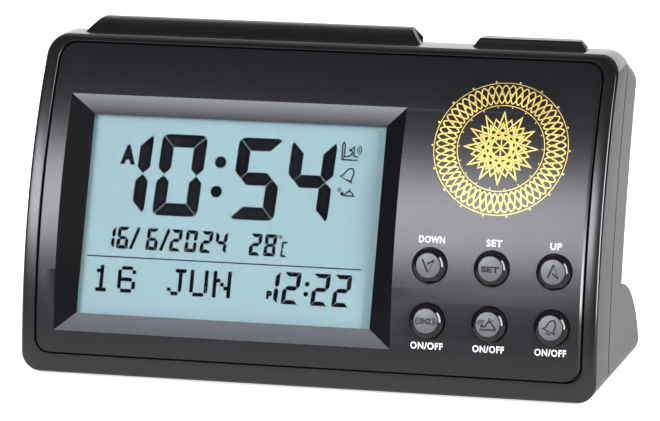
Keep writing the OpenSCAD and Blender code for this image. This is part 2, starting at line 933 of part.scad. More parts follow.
// Flat cable from the key board to its socket on the main board
module ribbon_cable() {
    first = 2 - keys_w / 2;
    last = first - ribbon_w - 2;
    color([0.75, 0.75, 0.72])
        stand()
            difference() {
                at_keys()
                    translate([0, 4 - ribbon_w, 0]) {
                        translate([first, 0, keys_back - ribbon_t])
                            cube([ribbon_w / 2, ribbon_w, ribbon_t]);
                        translate([first, 0, keys_back - ribbon_back])
                            cube([ribbon_t, ribbon_w, ribbon_back]);
                        translate([last, 0, keys_back - ribbon_back])
                            cube([first + ribbon_t - last, ribbon_w, ribbon_t]);
                        // Socket
                        translate([last + 0.4, 0.4, keys_back - ribbon_back + ribbon_t])
                            cube([ribbon_w / 3, ribbon_w - 0.8, 2 * ribbon_back]);
                    }
                at_window()
                    slab(main_w + 4, 2 * main_h, main_z - board_t, far);
            }
}

// ---------- keys on top ----------

// Everything under a line that follows the top at a height in front, in the side view
module under_top(z) {
    polygon([
        [-far, -far], [-far, z], [top_flat_y, z], [far, z - (far - top_flat_y) * tan(top_fall)],
        [far, -far]
    ]);
}

// Side view of the long key
module bar_view() {
    difference() {
        intersection() {
            union() {
                translate(bar_c)
                    circle(bar_r, $fn = 128);
                translate([bar_y, slot_low])
                    square([bar_back - bar_y, bar_c[1] - slot_low]);
            }
            translate([bar_y, slot_low])
                square([bar_back - bar_y, 20]);
        }
        under_top(key_bottom_z);
    }
}

module cap_view() {
    rear = cap_y + cap_d;
    difference() {
        polygon([
            [cap_y, slot_low], [cap_y, case_h], [cap_y + 0.9, case_h + cap_rise],
            [top_flat_y, case_h + cap_rise],
            [rear - 1, case_h + cap_rise - (rear - 1 - top_flat_y) * tan(top_fall)],
            [rear, case_h - 1.5], [rear, slot_low]
        ]);
        under_top(key_bottom_z);
    }
}

// Front view of a top key with sloping ends
module sloped_ends(len, rise) {
    polygon([
        [-len / 2, slot_low], [-len / 2, case_h], [-len / 2 + rise * end_slope, case_h + rise],
        [len / 2 - rise * end_slope, case_h + rise], [len / 2, case_h], [len / 2, slot_low]
    ]);
}

// Hollow under a top key, closed by a ceiling that follows the case's top
module key_hollow(len, front, rear) {
    across(len - 2 * key_wall)
        intersection() {
            under_top(case_h);
            translate([front + key_wall, 0])
                square([rear - front - 2 * key_wall, far]);
        }
}

// Tabs at both ends that keep a top key in its slot, under the top wall
module end_tabs(x, len) {
    for (side = [-1, 1])
        translate([x + side * (len / 2 + tab_len / 2 - 0.5) - tab_len / 2 - 0.5, tab_y, key_bottom_z])
            cube([tab_len + 1, tab_d, 1.25]);
}

// Presser over the switch, seats of the springs and the guide pins inside the springs
module key_bosses(x, spring_places) {
    post(x, top_axis_y, 2, top_plunger_z, case_h + 0.4);
    for (place = spring_places) {
        post(place, top_axis_y, spring_d / 2 + 0.2, key_bottom_z, case_h + 0.4);
        post(place, top_axis_y, 1.2, key_bottom_z - 3.5, key_bottom_z + 1);
    }
}

module top_bar() {
    color([0.1, 0.1, 0.11])
        stand() {
            translate([bar_x, 0, 0])
                difference() {
                    intersection() {
                        across(bar_len)
                            bar_view();
                        through()
                            sloped_ends(bar_len, bar_rise);
                    }
                    key_hollow(bar_len, bar_y, bar_back);
                }
            end_tabs(bar_x, bar_len);
            key_bosses(bar_x, bar_spring_x);
        }
}

module top_cap() {
    color([0.1, 0.1, 0.11])
        stand() {
            translate([cap_x, 0, 0])
                difference() {
                    intersection() {
                        across(cap_len)
                            cap_view();
                        through()
                            sloped_ends(cap_len, cap_rise);
                    }
                    key_hollow(cap_len, cap_y, cap_y + cap_d);
                }
            end_tabs(cap_x, cap_len);
            key_bosses(cap_x, cap_spring_x);
        }
}

module top_board() {
    color([0.1, 0.35, 0.18])
        stand()
            translate([-top_board_w / 2, top_axis_y - top_board_d / 2, top_board_z])
                cube([top_board_w, top_board_d, board_t]);
}

module top_switches() {
    color([0.25, 0.25, 0.27])
        stand()
            for (x = [bar_x, cap_x])
                translate([x, top_axis_y, top_board_z + board_t])
                    switch_body(top_travel);
}

module top_plunger(x) {
    color([0.1, 0.1, 0.1])
        stand()
            post(x, top_axis_y, plunger_d / 2, top_switch_z - plunger_in, top_plunger_z);
}

// Wound spring of a round wire between two heights
module coil(r, wire, low, high, turns) {
    steps = 10;
    sides = 6;
    count = turns * steps;
    pitch = (high - low - 2 * wire) / turns;
    points = [
        for (i = [0:count])
            let (a = 360 * i / steps, z = low + wire + pitch * i / steps)
                for (k = [0:sides - 1])
                    let (q = 360 * k / sides, rho = r + wire * cos(q))
                        [rho * cos(a), rho * sin(a), z + wire * sin(q)]
    ];
    last = count * sides;
    polyhedron(points, [
        for (i = [0:count - 1], k = [0:sides - 1])
            let (a = i * sides + k, b = i * sides + (k + 1) % sides)
                each [[a, a + sides, b + sides], [a, b + sides, b]],
        [for (k = [0:sides - 1]) k],
        [for (k = [sides - 1:-1:0]) last + k]
    ]);
}

module key_springs(places) {
    color([0.75, 0.75, 0.77])
        stand()
            for (x = places)
                translate([x, top_axis_y, 0])
                    coil(0.44 * spring_d, 0.06 * spring_d, top_board_z + board_t, key_bottom_z, 5);
}

// ---------- loudspeaker ----------

module speaker_basket() {
    r = speaker_d / 2;
    depth = 0.16 * speaker_d;
    color([0.35, 0.35, 0.37])
        stand()
            at_speaker()
                translate([0, 0, -speaker_seat])
                    rotate([180, 0, 0])
                        difference() {
                            union() {
                                cylinder(r = r, h = basket_t * 1.5);
                                cylinder(r1 = 0.92 * r, r2 = 0.52 * r, h = depth);
                            }
                            translate([0, 0, -0.1])
                                cylinder(r1 = 0.92 * r - basket_t, r2 = 0.52 * r - basket_t,
                                         h = depth - basket_t + 0.1);
                        }
}

module speaker_cone() {
    r = 0.92 * speaker_d / 2 - basket_t - 0.8;
    color([0.08, 0.08, 0.08])
        stand()
            at_speaker()
                translate([0, 0, -speaker_seat - 0.2])
                    rotate([180, 0, 0])
                        difference() {
                            cylinder(r1 = r, r2 = r / 3, h = 0.11 * speaker_d);
                            translate([0, 0, -cone_t])
                                cylinder(r1 = r, r2 = r / 3, h = 0.11 * speaker_d);
                        }
}

module speaker_magnet() {
    color([0.3, 0.3, 0.32])
        stand()
            at_speaker()
                post(0, 0, 0.24 * speaker_d, -speaker_seat - 0.3 * speaker_d,
                     -speaker_seat - 0.16 * speaker_d);
}

// ---------- batteries ----------

module battery_tray() {
    low = wall;
    front = front_cell_y - cell_d / 2 - 1.6;
    rear = cell_y + cell_d / 2 + 1.2;
    color([0.2, 0.2, 0.21])
        stand()
            intersection() {
                difference() {
                    translate([-tray_len / 2 - 1.6, front, low])
                        cube([tray_len + 3.2, rear - front, cell_z + 5 - low]);
                    // Bed of the two cells
                    for (y = [front_cell_y, cell_y])
                        translate([-tray_len / 2, y, cell_z])
                            rotate([0, 90, 0])
                                cylinder(r = cell_d / 2 + 0.1, h = tray_len);
                    for (y = [front_cell_y, cell_y])
                        translate([-tray_len / 2, y - cell_d / 2 - 0.1, cell_z])
                            cube([tray_len, cell_d + 0.2, 30]);
                }
                case_inside();
                across(far)
                    translate(foot_c)
                        circle(foot_r - door_t - 0.4, $fn = big_fn);
            }
}

module battery(y, side) {
    color([0.55, 0.55, 0.3])
        stand()
            translate([0, y, cell_z])
                rotate([0, 90 * side, 0]) {
                    post(0, 0, cell_d / 2, -tray_len / 2 + 0.4 + spring_room, tray_len / 2 - 1.6);
                    post(0, 0, 0.19 * cell_d, tray_len / 2 - 1.6, tray_len / 2 - 0.5);
                }
}

module battery_springs() {
    color([0.8, 0.8, 0.82])
        stand()
            for (c = [[cell_y, 1], [front_cell_y, -1]])
                translate([0, c[0], cell_z])
                    rotate([0, 90 * c[1], 0])
                        coil(0.23 * cell_d, 0.4, -tray_len / 2 + 0.5, -tray_len / 2 + 0.4 + spring_room, 3);
}

module battery_plates() {
    color([0.8, 0.8, 0.82])
        stand()
            for (side = [-1, 1], y = [front_cell_y, cell_y])
                translate([side * (tray_len / 2 - 0.25) - 0.25, y - 0.35 * cell_d, cell_z - 0.28 * cell_d])
                    cube([0.5, 0.7 * cell_d, 0.56 * cell_d]);
}

module battery_door() {
    color([0.2, 0.2, 0.22])
        stand() {
            across(door_w)
                door_segment(door_a0 + gap_angle, door_a1, foot_r - door_t, foot_r);
            across(door_w)
                translate(hinge_c)
                    circle(hinge_r);
        }
}

// ---------- fasteners and feet ----------

module case_screws() {
    color([0.7, 0.7, 0.72])
        stand()
            for (side = [-1, 1], k = [0, 1])
                screw_axis(side * screw_x, [screw_low, screw_high][k], 0) {
                    post(0, 0, screw_r, column_y[k] - 8, head_y[k] + 1);
                    post(0, 0, head_r, head_y[k], head_y[k] + 1.8);
                }
}

module board_screws() {
    color([0.7, 0.7, 0.72])
        stand() {
            at_window()
                for (x = [-1, 1], y = [-1, 1]) {
                    post(x * main_post[0], y * main_post[1], post_screw_r,
                         main_z - board_t - 1, main_z + 4.5);
                    post(x * main_post[0], y * main_post[1], 2, main_z - board_t - 1.2, main_z - board_t);
                }
            at_keys()
                for (x = [-1, 1], y = [-1, 1]) {
                    post(x * key_post[0], y * key_post[1], post_screw_r,
                         keys_back - 1, keys_back + board_t + 4.5);
                    post(x * key_post[0], y * key_post[1], 2, keys_back - 1.2, keys_back);
                }
        }
}

pad_x = case_w / 2 - 1.5 * pad_d;
pad_y = [pad_d, foot_depth - pad_d];

module rubber_feet() {
    color([0.1, 0.1, 0.1])
        stand()
            for (side = [-1, 1], y = pad_y)
                translate([side * pad_x, y, -pad_h])
                    cylinder(r1 = pad_d / 2 - 0.4, r2 = pad_d / 2, h = pad_h);
}

front_frame();
faceplate();
lcd_lens();
lcd_cell();
lcd_holder();
zebra_strips();
light_guide();
backlight_leds();
main_board();
clock_chip();
quartz_crystal();
board_parts();
key_board();
key_switches();
ribbon_cable();
key_cap(0, 0);  // down_key
key_cap(1, 0);  // set_key
key_cap(2, 0);  // up_key
key_cap(0, 1);  // snooze_key
key_cap(1, 1);  // azan_key
key_cap(2, 1);  // alarm_key
plunger(0, 0);  // down_plunger
plunger(1, 0);  // set_plunger
plunger(2, 0);  // up_plunger
plunger(0, 1);  // snooze_plunger
plunger(1, 1);  // azan_plunger
plunger(2, 1);  // alarm_plunger
top_bar();
top_cap();
top_board();
top_switches();
top_plunger(bar_x);  // bar_plunger
top_plunger(cap_x);  // cap_plunger
key_springs(bar_spring_x);  // bar_springs
key_springs(cap_spring_x);  // cap_springs
back_shell();
speaker_basket();
speaker_cone();
speaker_magnet();
battery_tray();
battery(cell_y, 1);  // rear_battery
battery(front_cell_y, -1);  // front_battery
battery_springs();
battery_plates();
battery_door();
case_screws();
board_screws();
rubber_feet();
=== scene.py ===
import bpy
import bmesh
import json
import math
from mathutils import Matrix, Vector


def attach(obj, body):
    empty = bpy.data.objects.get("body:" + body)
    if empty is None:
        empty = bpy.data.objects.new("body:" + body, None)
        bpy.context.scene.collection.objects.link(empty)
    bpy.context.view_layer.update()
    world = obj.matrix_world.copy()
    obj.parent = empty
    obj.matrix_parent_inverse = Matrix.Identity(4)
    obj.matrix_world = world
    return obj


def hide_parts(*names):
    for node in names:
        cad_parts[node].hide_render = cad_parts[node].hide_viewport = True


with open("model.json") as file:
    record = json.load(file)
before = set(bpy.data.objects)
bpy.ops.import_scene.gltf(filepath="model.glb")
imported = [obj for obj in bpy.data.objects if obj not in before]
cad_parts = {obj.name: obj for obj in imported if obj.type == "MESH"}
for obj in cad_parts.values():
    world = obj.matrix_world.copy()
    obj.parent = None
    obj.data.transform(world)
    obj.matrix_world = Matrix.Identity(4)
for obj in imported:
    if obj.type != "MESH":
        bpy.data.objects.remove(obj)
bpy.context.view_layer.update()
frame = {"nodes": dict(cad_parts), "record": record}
nodes = frame["nodes"]

# Lengths below are in millimetres, in the drawing's own frame: Y = 0 at the bottom edge of
# the face and Z = 0 at the flat bottom of the case. place() takes them to the row frame.
MID_Y, PAD_H = 30.0967, 1.0
CASE_W, CASE_H, CORNER_R, WALL = 170.0, 94.0, 5.6, 2.2
# the face is an arc in the side view, and so is the seam with the back shell
FACE_R, FACE_LEAN = 164.5, math.radians(1.1)
FACE_C = (FACE_R * math.cos(FACE_LEAN), -FACE_R * math.sin(FACE_LEAN))
SEAM_R, SEAM_LEAN, SEAM_Y = 225.0, math.radians(4.1), 17.2
SEAM_C = (SEAM_Y + SEAM_R * math.cos(SEAM_LEAN), -SEAM_R * math.sin(SEAM_LEAN))
# the top is flat as far back as TOP_FLAT_Y, and falls behind it
TOP_FLAT_Y, TOP_FALL = 41.5, math.radians(24)
# depth of the faceplate's seat in the frame, and width and thickness of the ledge behind it
PLATE_T, LEDGE_W, LEDGE_T = 2.2, 3.0, 2.0


def place(x, y, z):
    return Vector((x, y - MID_Y, z + PAD_H)) * 0.001


# s is a length along the face, from its bottom edge up
def lean_at(s):
    return FACE_LEAN + s / FACE_R


def lean_at_height(z):
    return math.asin((z - FACE_C[1]) / FACE_R)


def s_at_height(z):
    return (lean_at_height(z) - FACE_LEAN) * FACE_R


def face_at(s, depth=0.0):
    a = lean_at(s)
    r = FACE_R - depth
    return FACE_C[0] - r * math.cos(a), FACE_C[1] + r * math.sin(a)


def face_y(z, depth=0.0):
    r = FACE_R - depth
    return FACE_C[0] - math.sqrt(r * r - (z - FACE_C[1]) ** 2)


def seam_y(z):
    return SEAM_C[0] - math.sqrt(SEAM_R ** 2 - (z - SEAM_C[1]) ** 2)


def face_point(x, s, h=0.0):
    y, z = face_at(s, -h)
    return x, y, z


class Plane:
    """A flat working plane: an origin, u along X, v up the plane and h outward."""

    def __init__(self, x, y, z, lean):
        self.x, self.y, self.z, self.lean = x, y, z, lean

    def at(self, u, v, h=0.0):
        c, s = math.cos(self.lean), math.sin(self.lean)
        return self.x + u, self.y + v * s - h * c, self.z + v * c + h * s


# the display's window lies flat behind the face, at the foot of four bevels
VIEW_W, VIEW_H, VIEW_X, VIEW_S, VIEW_DEPTH = 87.6, 58.4, 24.9, 47.3, 5.2
BEVEL_W, RECESS_LOW, RECESS_HIGH = 6.4, 12.5, 82.1
WINDOW = Plane(-VIEW_X, *face_at(VIEW_S, VIEW_DEPTH), lean_at(VIEW_S) + math.radians(2.7))
LENS_Z, LCD_Z = -0.8, -2.0
# the round keys stand on a plane that touches the face midway between their two rows
KEYS_X, KEYS_S, KEY_PITCH, ROW_PITCH, KEY_R = 54.0, 29.0, 18.0, 15.7, 5.0
KEYS = Plane(KEYS_X, *face_at(KEYS_S), lean_at(KEYS_S))
KEY_ROWS = (("down", "set", "up"), ("snooze", "azan", "alarm"))
KEY_PLACES = {name: ((col - 1) * KEY_PITCH, (0.5 - row) * ROW_PITCH)
              for row, names in enumerate(KEY_ROWS) for col, name in enumerate(names)}
# a key's top is KEY_RISE above the face, which lies KEY_SAG behind the plane at the rows
KEY_RISE, KEY_SAG, DISC_R = 2.1, ROW_PITCH ** 2 / 8 / FACE_R, 3.5
KEY_TOP = KEY_RISE - KEY_SAG
DISC_TOP = KEY_TOP - 0.02
# the two keys in the top: middle, length, front edge and rise, and the clearance round them
BAR_X, BAR_LEN, BAR_Y, BAR_RISE = -25.0, 101.0, 36.2, 3.9
CAP_X, CAP_LEN, CAP_Y, CAP_RISE = 57.5, 33.4, 37.0, 2.5
SLOT_GAP = 0.25

# ---------- materials ----------


def noise(tree, where, size_mm, detail):
    """A noise at a place, with features of about size_mm."""
    node = tree.nodes.new("ShaderNodeTexNoise")
    node.inputs["Scale"].default_value = 1000 / size_mm
    node.inputs["Detail"].default_value = detail
    tree.links.new(where, node.inputs["Vector"])
    return node.outputs["Fac"]


def ramp(tree, share, stops):
    """A colour that runs between two stops, each a position and a colour."""
    node = tree.nodes.new("ShaderNodeValToRGB")
    for element, (position, colour) in zip(node.color_ramp.elements, stops):
        element.position, element.color = position, (*colour, 1)
    tree.links.new(share, node.inputs["Fac"])
    return node.outputs["Color"]


def mapped(tree, value, ends, to=(0, 1)):
    """A value between two ends, taken to the same share between two others."""
    node = tree.nodes.new("ShaderNodeMapRange")
    node.inputs["From Min"].default_value, node.inputs["From Max"].default_value = ends
    node.inputs["To Min"].default_value, node.inputs["To Max"].default_value = to
    tree.links.new(value, node.inputs["Value"])
    return node.outputs["Result"]


def calc(tree, operation, *terms):
    """The result of a math node, whose terms are numbers or outputs of other nodes."""
    node = tree.nodes.new("ShaderNodeMath")
    node.operation = operation
    for socket, term in zip(node.inputs, terms):
        if isinstance(term, bpy.types.NodeSocket):
            tree.links.new(term, socket)
        else:
            socket.default_value = term
    return node.outputs[0]


def principled(name, settings):
    """A new material with the values of its surface set."""
    material = bpy.data.materials.new(name)
    material.use_nodes = True
    surface = material.node_tree.nodes["Principled BSDF"]
    for socket, value in settings.items():
        surface.inputs[socket].default_value = value
    return material, material.node_tree, surface


def shader(name, base, rough=0.5, metal=0.0, ior=1.5, gloss=0.5, coat=0.0, grain=0.0,
           grain_mm=0.3, bump_mm=0.01, vary=0.0, vary_mm=8.0, rough_vary=0.0, specks=None):
    """A surface with a fine grain as relief, whose colour and roughness vary a little in broad
    patches; specks are a colour and a size."""
    material, tree, surface = principled(name, {
        "Base Color": (*base, 1), "Roughness": rough, "Metallic": metal, "IOR": ior,
        "Specular IOR Level": gloss, "Coat Weight": coat, "Coat Roughness": 0.1})
    where = tree.nodes.new("ShaderNodeTexCoord").outputs["Object"]
    if vary or rough_vary:
        patches = noise(tree, where, vary_mm, 4)
    if vary:
        dark = [c * (1 - vary) for c in base]
        pale = [min(1, c * (1 + vary)) for c in base]
        colour = ramp(tree, patches, ((0.3, dark), (0.7, pale)))
        tree.links.new(colour, surface.inputs["Base Color"])
    if rough_vary:
        varied = mapped(tree, patches, (0, 1), (rough - rough_vary, rough + rough_vary))
        tree.links.new(varied, surface.inputs["Roughness"])
    if specks:
        flake, flake_mm = specks
        colour = ramp(tree, noise(tree, where, flake_mm, 1), ((0.35, base), (0.72, flake)))
        tree.links.new(colour, surface.inputs["Base Color"])
    if grain:
        bump = tree.nodes.new("ShaderNodeBump")
        bump.inputs["Strength"].default_value = grain
        bump.inputs["Distance"].default_value = bump_mm * 0.001
        tree.links.new(noise(tree, where, grain_mm, 3), bump.inputs["Height"])
        tree.links.new(bump.outputs["Normal"], surface.inputs["Normal"])
    return material


def lens_shader():
    """Clear acrylic that lets the lamps through to what lies behind it."""
    material, tree, surface = principled("lens_acrylic", {
        "Base Color": (0.97, 1, 1, 1), "Roughness": 0.02, "IOR": 1.45,
        "Transmission Weight": 1.0, "Specular Tint": (0.005, 0.005, 0.005, 1)})
    ray = tree.nodes.new("ShaderNodeLightPath").outputs
    clear = tree.nodes.new("ShaderNodeBsdfTransparent")
    mix = tree.nodes.new("ShaderNodeMixShader")
    passing = calc(tree, "MAXIMUM", ray["Is Shadow Ray"], ray["Is Diffuse Ray"])
    tree.links.new(passing, mix.inputs["Fac"])
    tree.links.new(surface.outputs["BSDF"], mix.inputs[1])
    tree.links.new(clear.outputs["BSDF"], mix.inputs[2])
    tree.links.new(mix.outputs["Shader"], tree.nodes["Material Output"].inputs["Surface"])
    return material


def paint_shade_downward(material, low, high, share):
    """Paints shade into the colour: lets it fall to a share of itself from the upper height to the
    lower one.
    """
    tree = material.node_tree
    base = tree.nodes["Principled BSDF"].inputs["Base Color"]
    full = base.default_value[:3]
    parts = tree.nodes.new("ShaderNodeSeparateXYZ")
    where = tree.nodes.new("ShaderNodeTexCoord")
    tree.links.new(where.outputs["Object"], parts.inputs["Vector"])
    ends = ((low + PAD_H) * 0.001, (high + PAD_H) * 0.001)
    rise = mapped(tree, parts.outputs["Z"], ends)
    tree.links.new(ramp(tree, rise, ((0, [c * share for c in full]), (1, full))), base)


# the look of each material slot
MATERIALS = {
    "frame_plastic": shader("frame_satin", (0.006, 0.0062, 0.007), 0.26, ior=1.52, grain=0.35,
                            grain_mm=0.35, rough_vary=0.02, vary=0.1),
    "face_plastic": shader("face_graphite", (0.005, 0.0052, 0.006), 0.27, 0.2, ior=1.52,
                           grain=0.35, rough_vary=0.02, specks=((0.013, 0.0133, 0.0155), 0.18)),
    "lcd": shader("lcd_reflector", (0.231, 0.33, 0.349), 0.55, gloss=0.0, grain=0.1, grain_mm=0.2,
                  vary=0.02, vary_mm=20),
    "white_plastic": shader("holder_white", (0.78, 0.78, 0.76), 0.5, grain=0.2, vary=0.03),
    "elastomer": shader("zebra_rubber", (0.72, 0.33, 0.38), 0.7, grain=0.3, vary=0.08,
                        vary_mm=1),
    "light_guide": shader("guide_acrylic", (0.85, 0.9, 0.9), 0.35, grain=0.3, vary=0.02),
    "led": shader("led_package", (0.85, 0.8, 0.55), 0.3, grain=0.1, vary=0.05),
    "circuit_board": shader("solder_mask", (0.012, 0.10, 0.04), 0.35, coat=0.3, vary=0.25,
                            vary_mm=1.5, grain=0.2),
    "black_epoxy": shader("potting", (0.012, 0.012, 0.013), 0.25, grain=0.3, grain_mm=0.8),
    "bright_metal": shader("nickel", (0.66, 0.65, 0.62), 0.22, 1.0, rough_vary=0.06),
    "components": shader("component_bodies", (0.2, 0.15, 0.08), 0.4, vary=0.3, vary_mm=3),
    "switch_plastic": shader("switch_nylon", (0.02, 0.02, 0.022), 0.5, grain=0.3, vary=0.1),
    "ribbon": shader("ribbon_vinyl", (0.55, 0.55, 0.52), 0.5, grain=0.2, vary=0.06),
    "shell_plastic": shader("shell_satin", (0.036, 0.038, 0.045), 0.32, grain=0.4, grain_mm=0.4,
                            bump_mm=0.015, rough_vary=0.04, vary=0.06, vary_mm=15),
    "dark_steel": shader("basket_steel", (0.1, 0.1, 0.105), 0.35, 0.8, rough_vary=0.08),
    "speaker_paper": shader("cone_paper", (0.015, 0.015, 0.016), 0.9, grain=0.8, vary=0.2),
    "ferrite": shader("ferrite", (0.05, 0.05, 0.052), 0.6, 0.3, grain=0.6, vary=0.2),
    "battery_can": shader("battery_lacquer", (0.28, 0.3, 0.22), 0.3, 0.4, vary=0.08,
                          rough_vary=0.05),
    "screw_steel": shader("zinc", (0.5, 0.5, 0.5), 0.32, 1.0, rough_vary=0.1, vary=0.1,
                          vary_mm=2),
    "rubber": shader("foot_rubber", (0.015, 0.015, 0.015), 0.85, grain=0.6, vary=0.15),
    "top_plastic": shader("top_key_black", (0.008, 0.0082, 0.009), 0.28, gloss=0.08, grain=0.2,
                          grain_mm=0.4, bump_mm=0.008, rough_vary=0.03, vary=0.1),
    "key_plastic": shader("key_black", (0.005, 0.005, 0.006), 0.1, gloss=0.35, grain=0.1,
                          rough_vary=0.02, vary=0.1),
    "lens": lens_shader(),
}
# finishes of parts of a moulding: the bright facets, and the four bevels of the recess, which are
# lit and shaded copies of the one moulding: painted light on the upper bevel, painted half light on
# the lower one, and painted shade on the sides, black with the gloss taken away
FINISH = {
    "edge": shader("edge_gloss", (0.005, 0.005, 0.006), 0.13, grain=0.1, vary=0.1),
    "painted_shade_black": shader("black_painted_shade", (0.006, 0.006, 0.007), 0.5, gloss=0.02, grain=0.3,
                          bump_mm=0.008, vary=0.06),
    "painted_light_bevel": shader("bevel_painted_light", (0.26, 0.265, 0.285), 0.26, 0.9, grain=0.3,
                         bump_mm=0.008, rough_vary=0.03),
    "recess_low": shader("bevel_painted_half_light", (0.085, 0.087, 0.094), 0.6, 0.9, grain=0.3,
                         bump_mm=0.008, rough_vary=0.03, vary=0.06),
}
# painted shade: the upper bevel's colour gets darker towards the window
paint_shade_downward(FINISH["painted_light_bevel"], 72.3, 78.4, 0.22)
# what is printed, engraved or inlaid
INK = {
    "segment": shader("lcd_segment", (0.004, 0.004, 0.006), 0.5, gloss=0.0, grain=0.1, vary=0.1),
    "disc": shader("key_disc_grey", (0.11, 0.112, 0.118), 0.42, 0.2, grain=0.4, grain_mm=0.25,
                   vary=0.1, vary_mm=3, rough_vary=0.05),
    "engraved": shader("key_engraving", (0.004, 0.004, 0.004), 0.7, grain=0.2, vary=0.1),
    "print": shader("white_print", (0.86, 0.86, 0.86), 0.55, grain=0.2, vary=0.03, vary_mm=1),
    "gold": shader("gold_foil", (0.72, 0.52, 0.13), 0.42, 0.55, grain=0.3, grain_mm=0.4,
                   vary=0.18, vary_mm=6, rough_vary=0.08),
}


def dress_nodes():
    """Gives each CAD node the look of its material slot."""
    for row in frame["record"]["subparts"]:
        mesh = nodes[row["node"]].data
        mesh.materials.clear()
        mesh.materials.append(MATERIALS[row["material_slot"]])


# ---------- mesh tools ----------


def arc(u, v, r, start, step, count):
    """Points at a distance r from u, v, from a start angle on in equal steps, in degrees."""
    angles = [math.radians(start + step * i) for i in range(count)]
    return [(u + r * math.cos(a), v + r * math.sin(a)) for a in angles]


def circle(u, v, r, count=72):
    return arc(u, v, r, 0, 360 / count, count)


def link(name, mesh, material, body="case", smooth=30):
    """Puts a mesh in the scene as a piece of its own and a body."""
    ob = bpy.data.objects.new(name, mesh)
    bpy.context.scene.collection.objects.link(ob)
    mesh.materials.clear()
    mesh.materials.append(material)
    mesh.shade_smooth()
    mesh.set_sharp_from_angle(angle=math.radians(smooth))
    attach(ob, body)
    return ob


def mesh_of(verts, faces, weld=0.002):
    """Mesh from drawing-frame points with its normals outward; points within weld are joined."""
    mesh = bpy.data.meshes.new("shape")
    mesh.from_pydata([place(*v) for v in verts], [], faces)
    work = bmesh.new()
    work.from_mesh(mesh)
    if weld:
        bmesh.ops.remove_doubles(work, verts=work.verts, dist=weld * 0.001)
        bmesh.ops.dissolve_degenerate(work, edges=work.edges, dist=1e-7)
    bmesh.ops.recalc_face_normals(work, faces=work.faces)
    work.to_mesh(mesh)
    work.free()
    return mesh


def loft(loops, closed=True):
    """Quads between loops of equal length. The last loop joins the first when closed, and
    otherwise both end loops are filled."""
    n, count = len(loops[0]), len(loops)
    verts = [p for loop in loops for p in loop]
    faces = []
    for i in range(count if closed else count - 1):
        j = (i + 1) % count
        for k in range(n):
            q = (k + 1) % n
            faces.append((i * n + k, i * n + q, j * n + q, j * n + k))
    if not closed:
        faces.append(tuple(range(n)))
        faces.append(tuple(range((count - 1) * n, count * n)))
    return verts, faces


def tool(verts, faces):
    """An object for a boolean; modified() removes it once it is used."""
    ob = bpy.data.objects.new("tool", mesh_of(verts, faces))
    bpy.context.scene.collection.objects.link(ob)
    return ob


def box_tool(x0, x1, y0, y1, z0, z1):
    corners = [(x0, y0), (x1, y0), (x1, y1), (x0, y1)]
    return tool(*loft([[(x, y, z) for x, y in corners] for z in (z0, z1)], closed=False))


def prism_tool(x, length, side_view):
    """A side view, of points in Y and Z, run along X about a middle."""
    return tool(*loft([[(x + way * length / 2, y, z) for y, z in side_view] for way in (-1, 1)],
                      closed=False))


def modified(ob, cut=(), add=(), bevel=0.0, segments=3, angle=30):
    """Applies cuts, additions and a bevel, in that order, on top of the object's modifiers."""
    jobs = [(other, "DIFFERENCE") for other in cut] + [(other, "UNION") for other in add]
    for other, operation in jobs:
        step = ob.modifiers.new("boolean", "BOOLEAN")
        step.operation, step.solver, step.object = operation, "EXACT", other
    if bevel:
        step = ob.modifiers.new("bevel", "BEVEL")
        step.width, step.segments = bevel * 0.001, segments
        step.limit_method, step.angle_limit = "ANGLE", math.radians(angle)
        step.harden_normals = True
        step.miter_outer = "MITER_ARC"
    graph = bpy.context.evaluated_depsgraph_get()
    mesh = bpy.data.meshes.new_from_object(ob.evaluated_get(graph))
    ob.modifiers.clear()
    ob.data = mesh
    for other, _ in jobs:
        bpy.data.objects.remove(other)


# numbers of points of an outline: along a side, along the top or bottom, round a corner
SIDE_N, FLAT_N, CORNER_N = 90, 40, 10


def outline(w, low, high, r, inset):
    """Rounded rectangle in the front view, with matching points whatever its size.
    Gives (x, z, share), where share is 1 on top, 0 at the sides and below."""
    r = max(r - inset, 0.3)
    hw, lo, hi = w / 2 - inset, low + inset, high - inset
    pts = []

    def line(x0, z0, x1, z1, n, share):
        for i in range(n):
            t = i / n
            pts.append((x0 + (x1 - x0) * t, z0 + (z1 - z0) * t, share))

    def corner(x, z, start, top):
        for px, pz in arc(x, z, r, start, 90 / CORNER_N, CORNER_N):
            pts.append((px, pz, max(0, (pz - z) / r) * top))

    line(hw, lo + r, hw, hi - r, SIDE_N, 0)
    corner(hw - r, hi - r, 0, 1)
    line(hw - r, hi, -hw + r, hi, FLAT_N, 1)
    corner(-hw + r, hi - r, 90, 1)
    line(-hw, hi - r, -hw, lo + r, SIDE_N, 0)
    corner(-hw + r, lo + r, 180, 0)
    line(-hw + r, lo, hw - r, lo, FLAT_N, 0)
    corner(hw - r, lo + r, 270, 0)
    return pts


# ---------- front frame ----------

POCKET_W, POCKET_LOW, POCKET_HIGH, POCKET_R = CASE_W - 8, face_at(5.6)[1], CASE_H - 1.8, 4.6
RIM_DROP, EDGE_DEEP = 0.12, 1.2


def case_loop(inset, back=None, depth=0.0, w=CASE_W, low=0.0, high=CASE_H, r=CORNER_R):
    """Loop of the outline on the face, depth behind it, or at a side-view depth back(z)."""
    pts = []
    for x, z, share in outline(w, low, high, r, inset):
        y = face_y(z, depth) if back is None else back(z)
        fall = max(0, y - TOP_FLAT_Y) * math.tan(TOP_FALL) * share
        pts.append((x, y, z - fall))
    return pts


def pocket_loop(inset, depth):
    return case_loop(inset, depth=depth, w=POCKET_W, low=POCKET_LOW, high=POCKET_HIGH, r=POCKET_R)


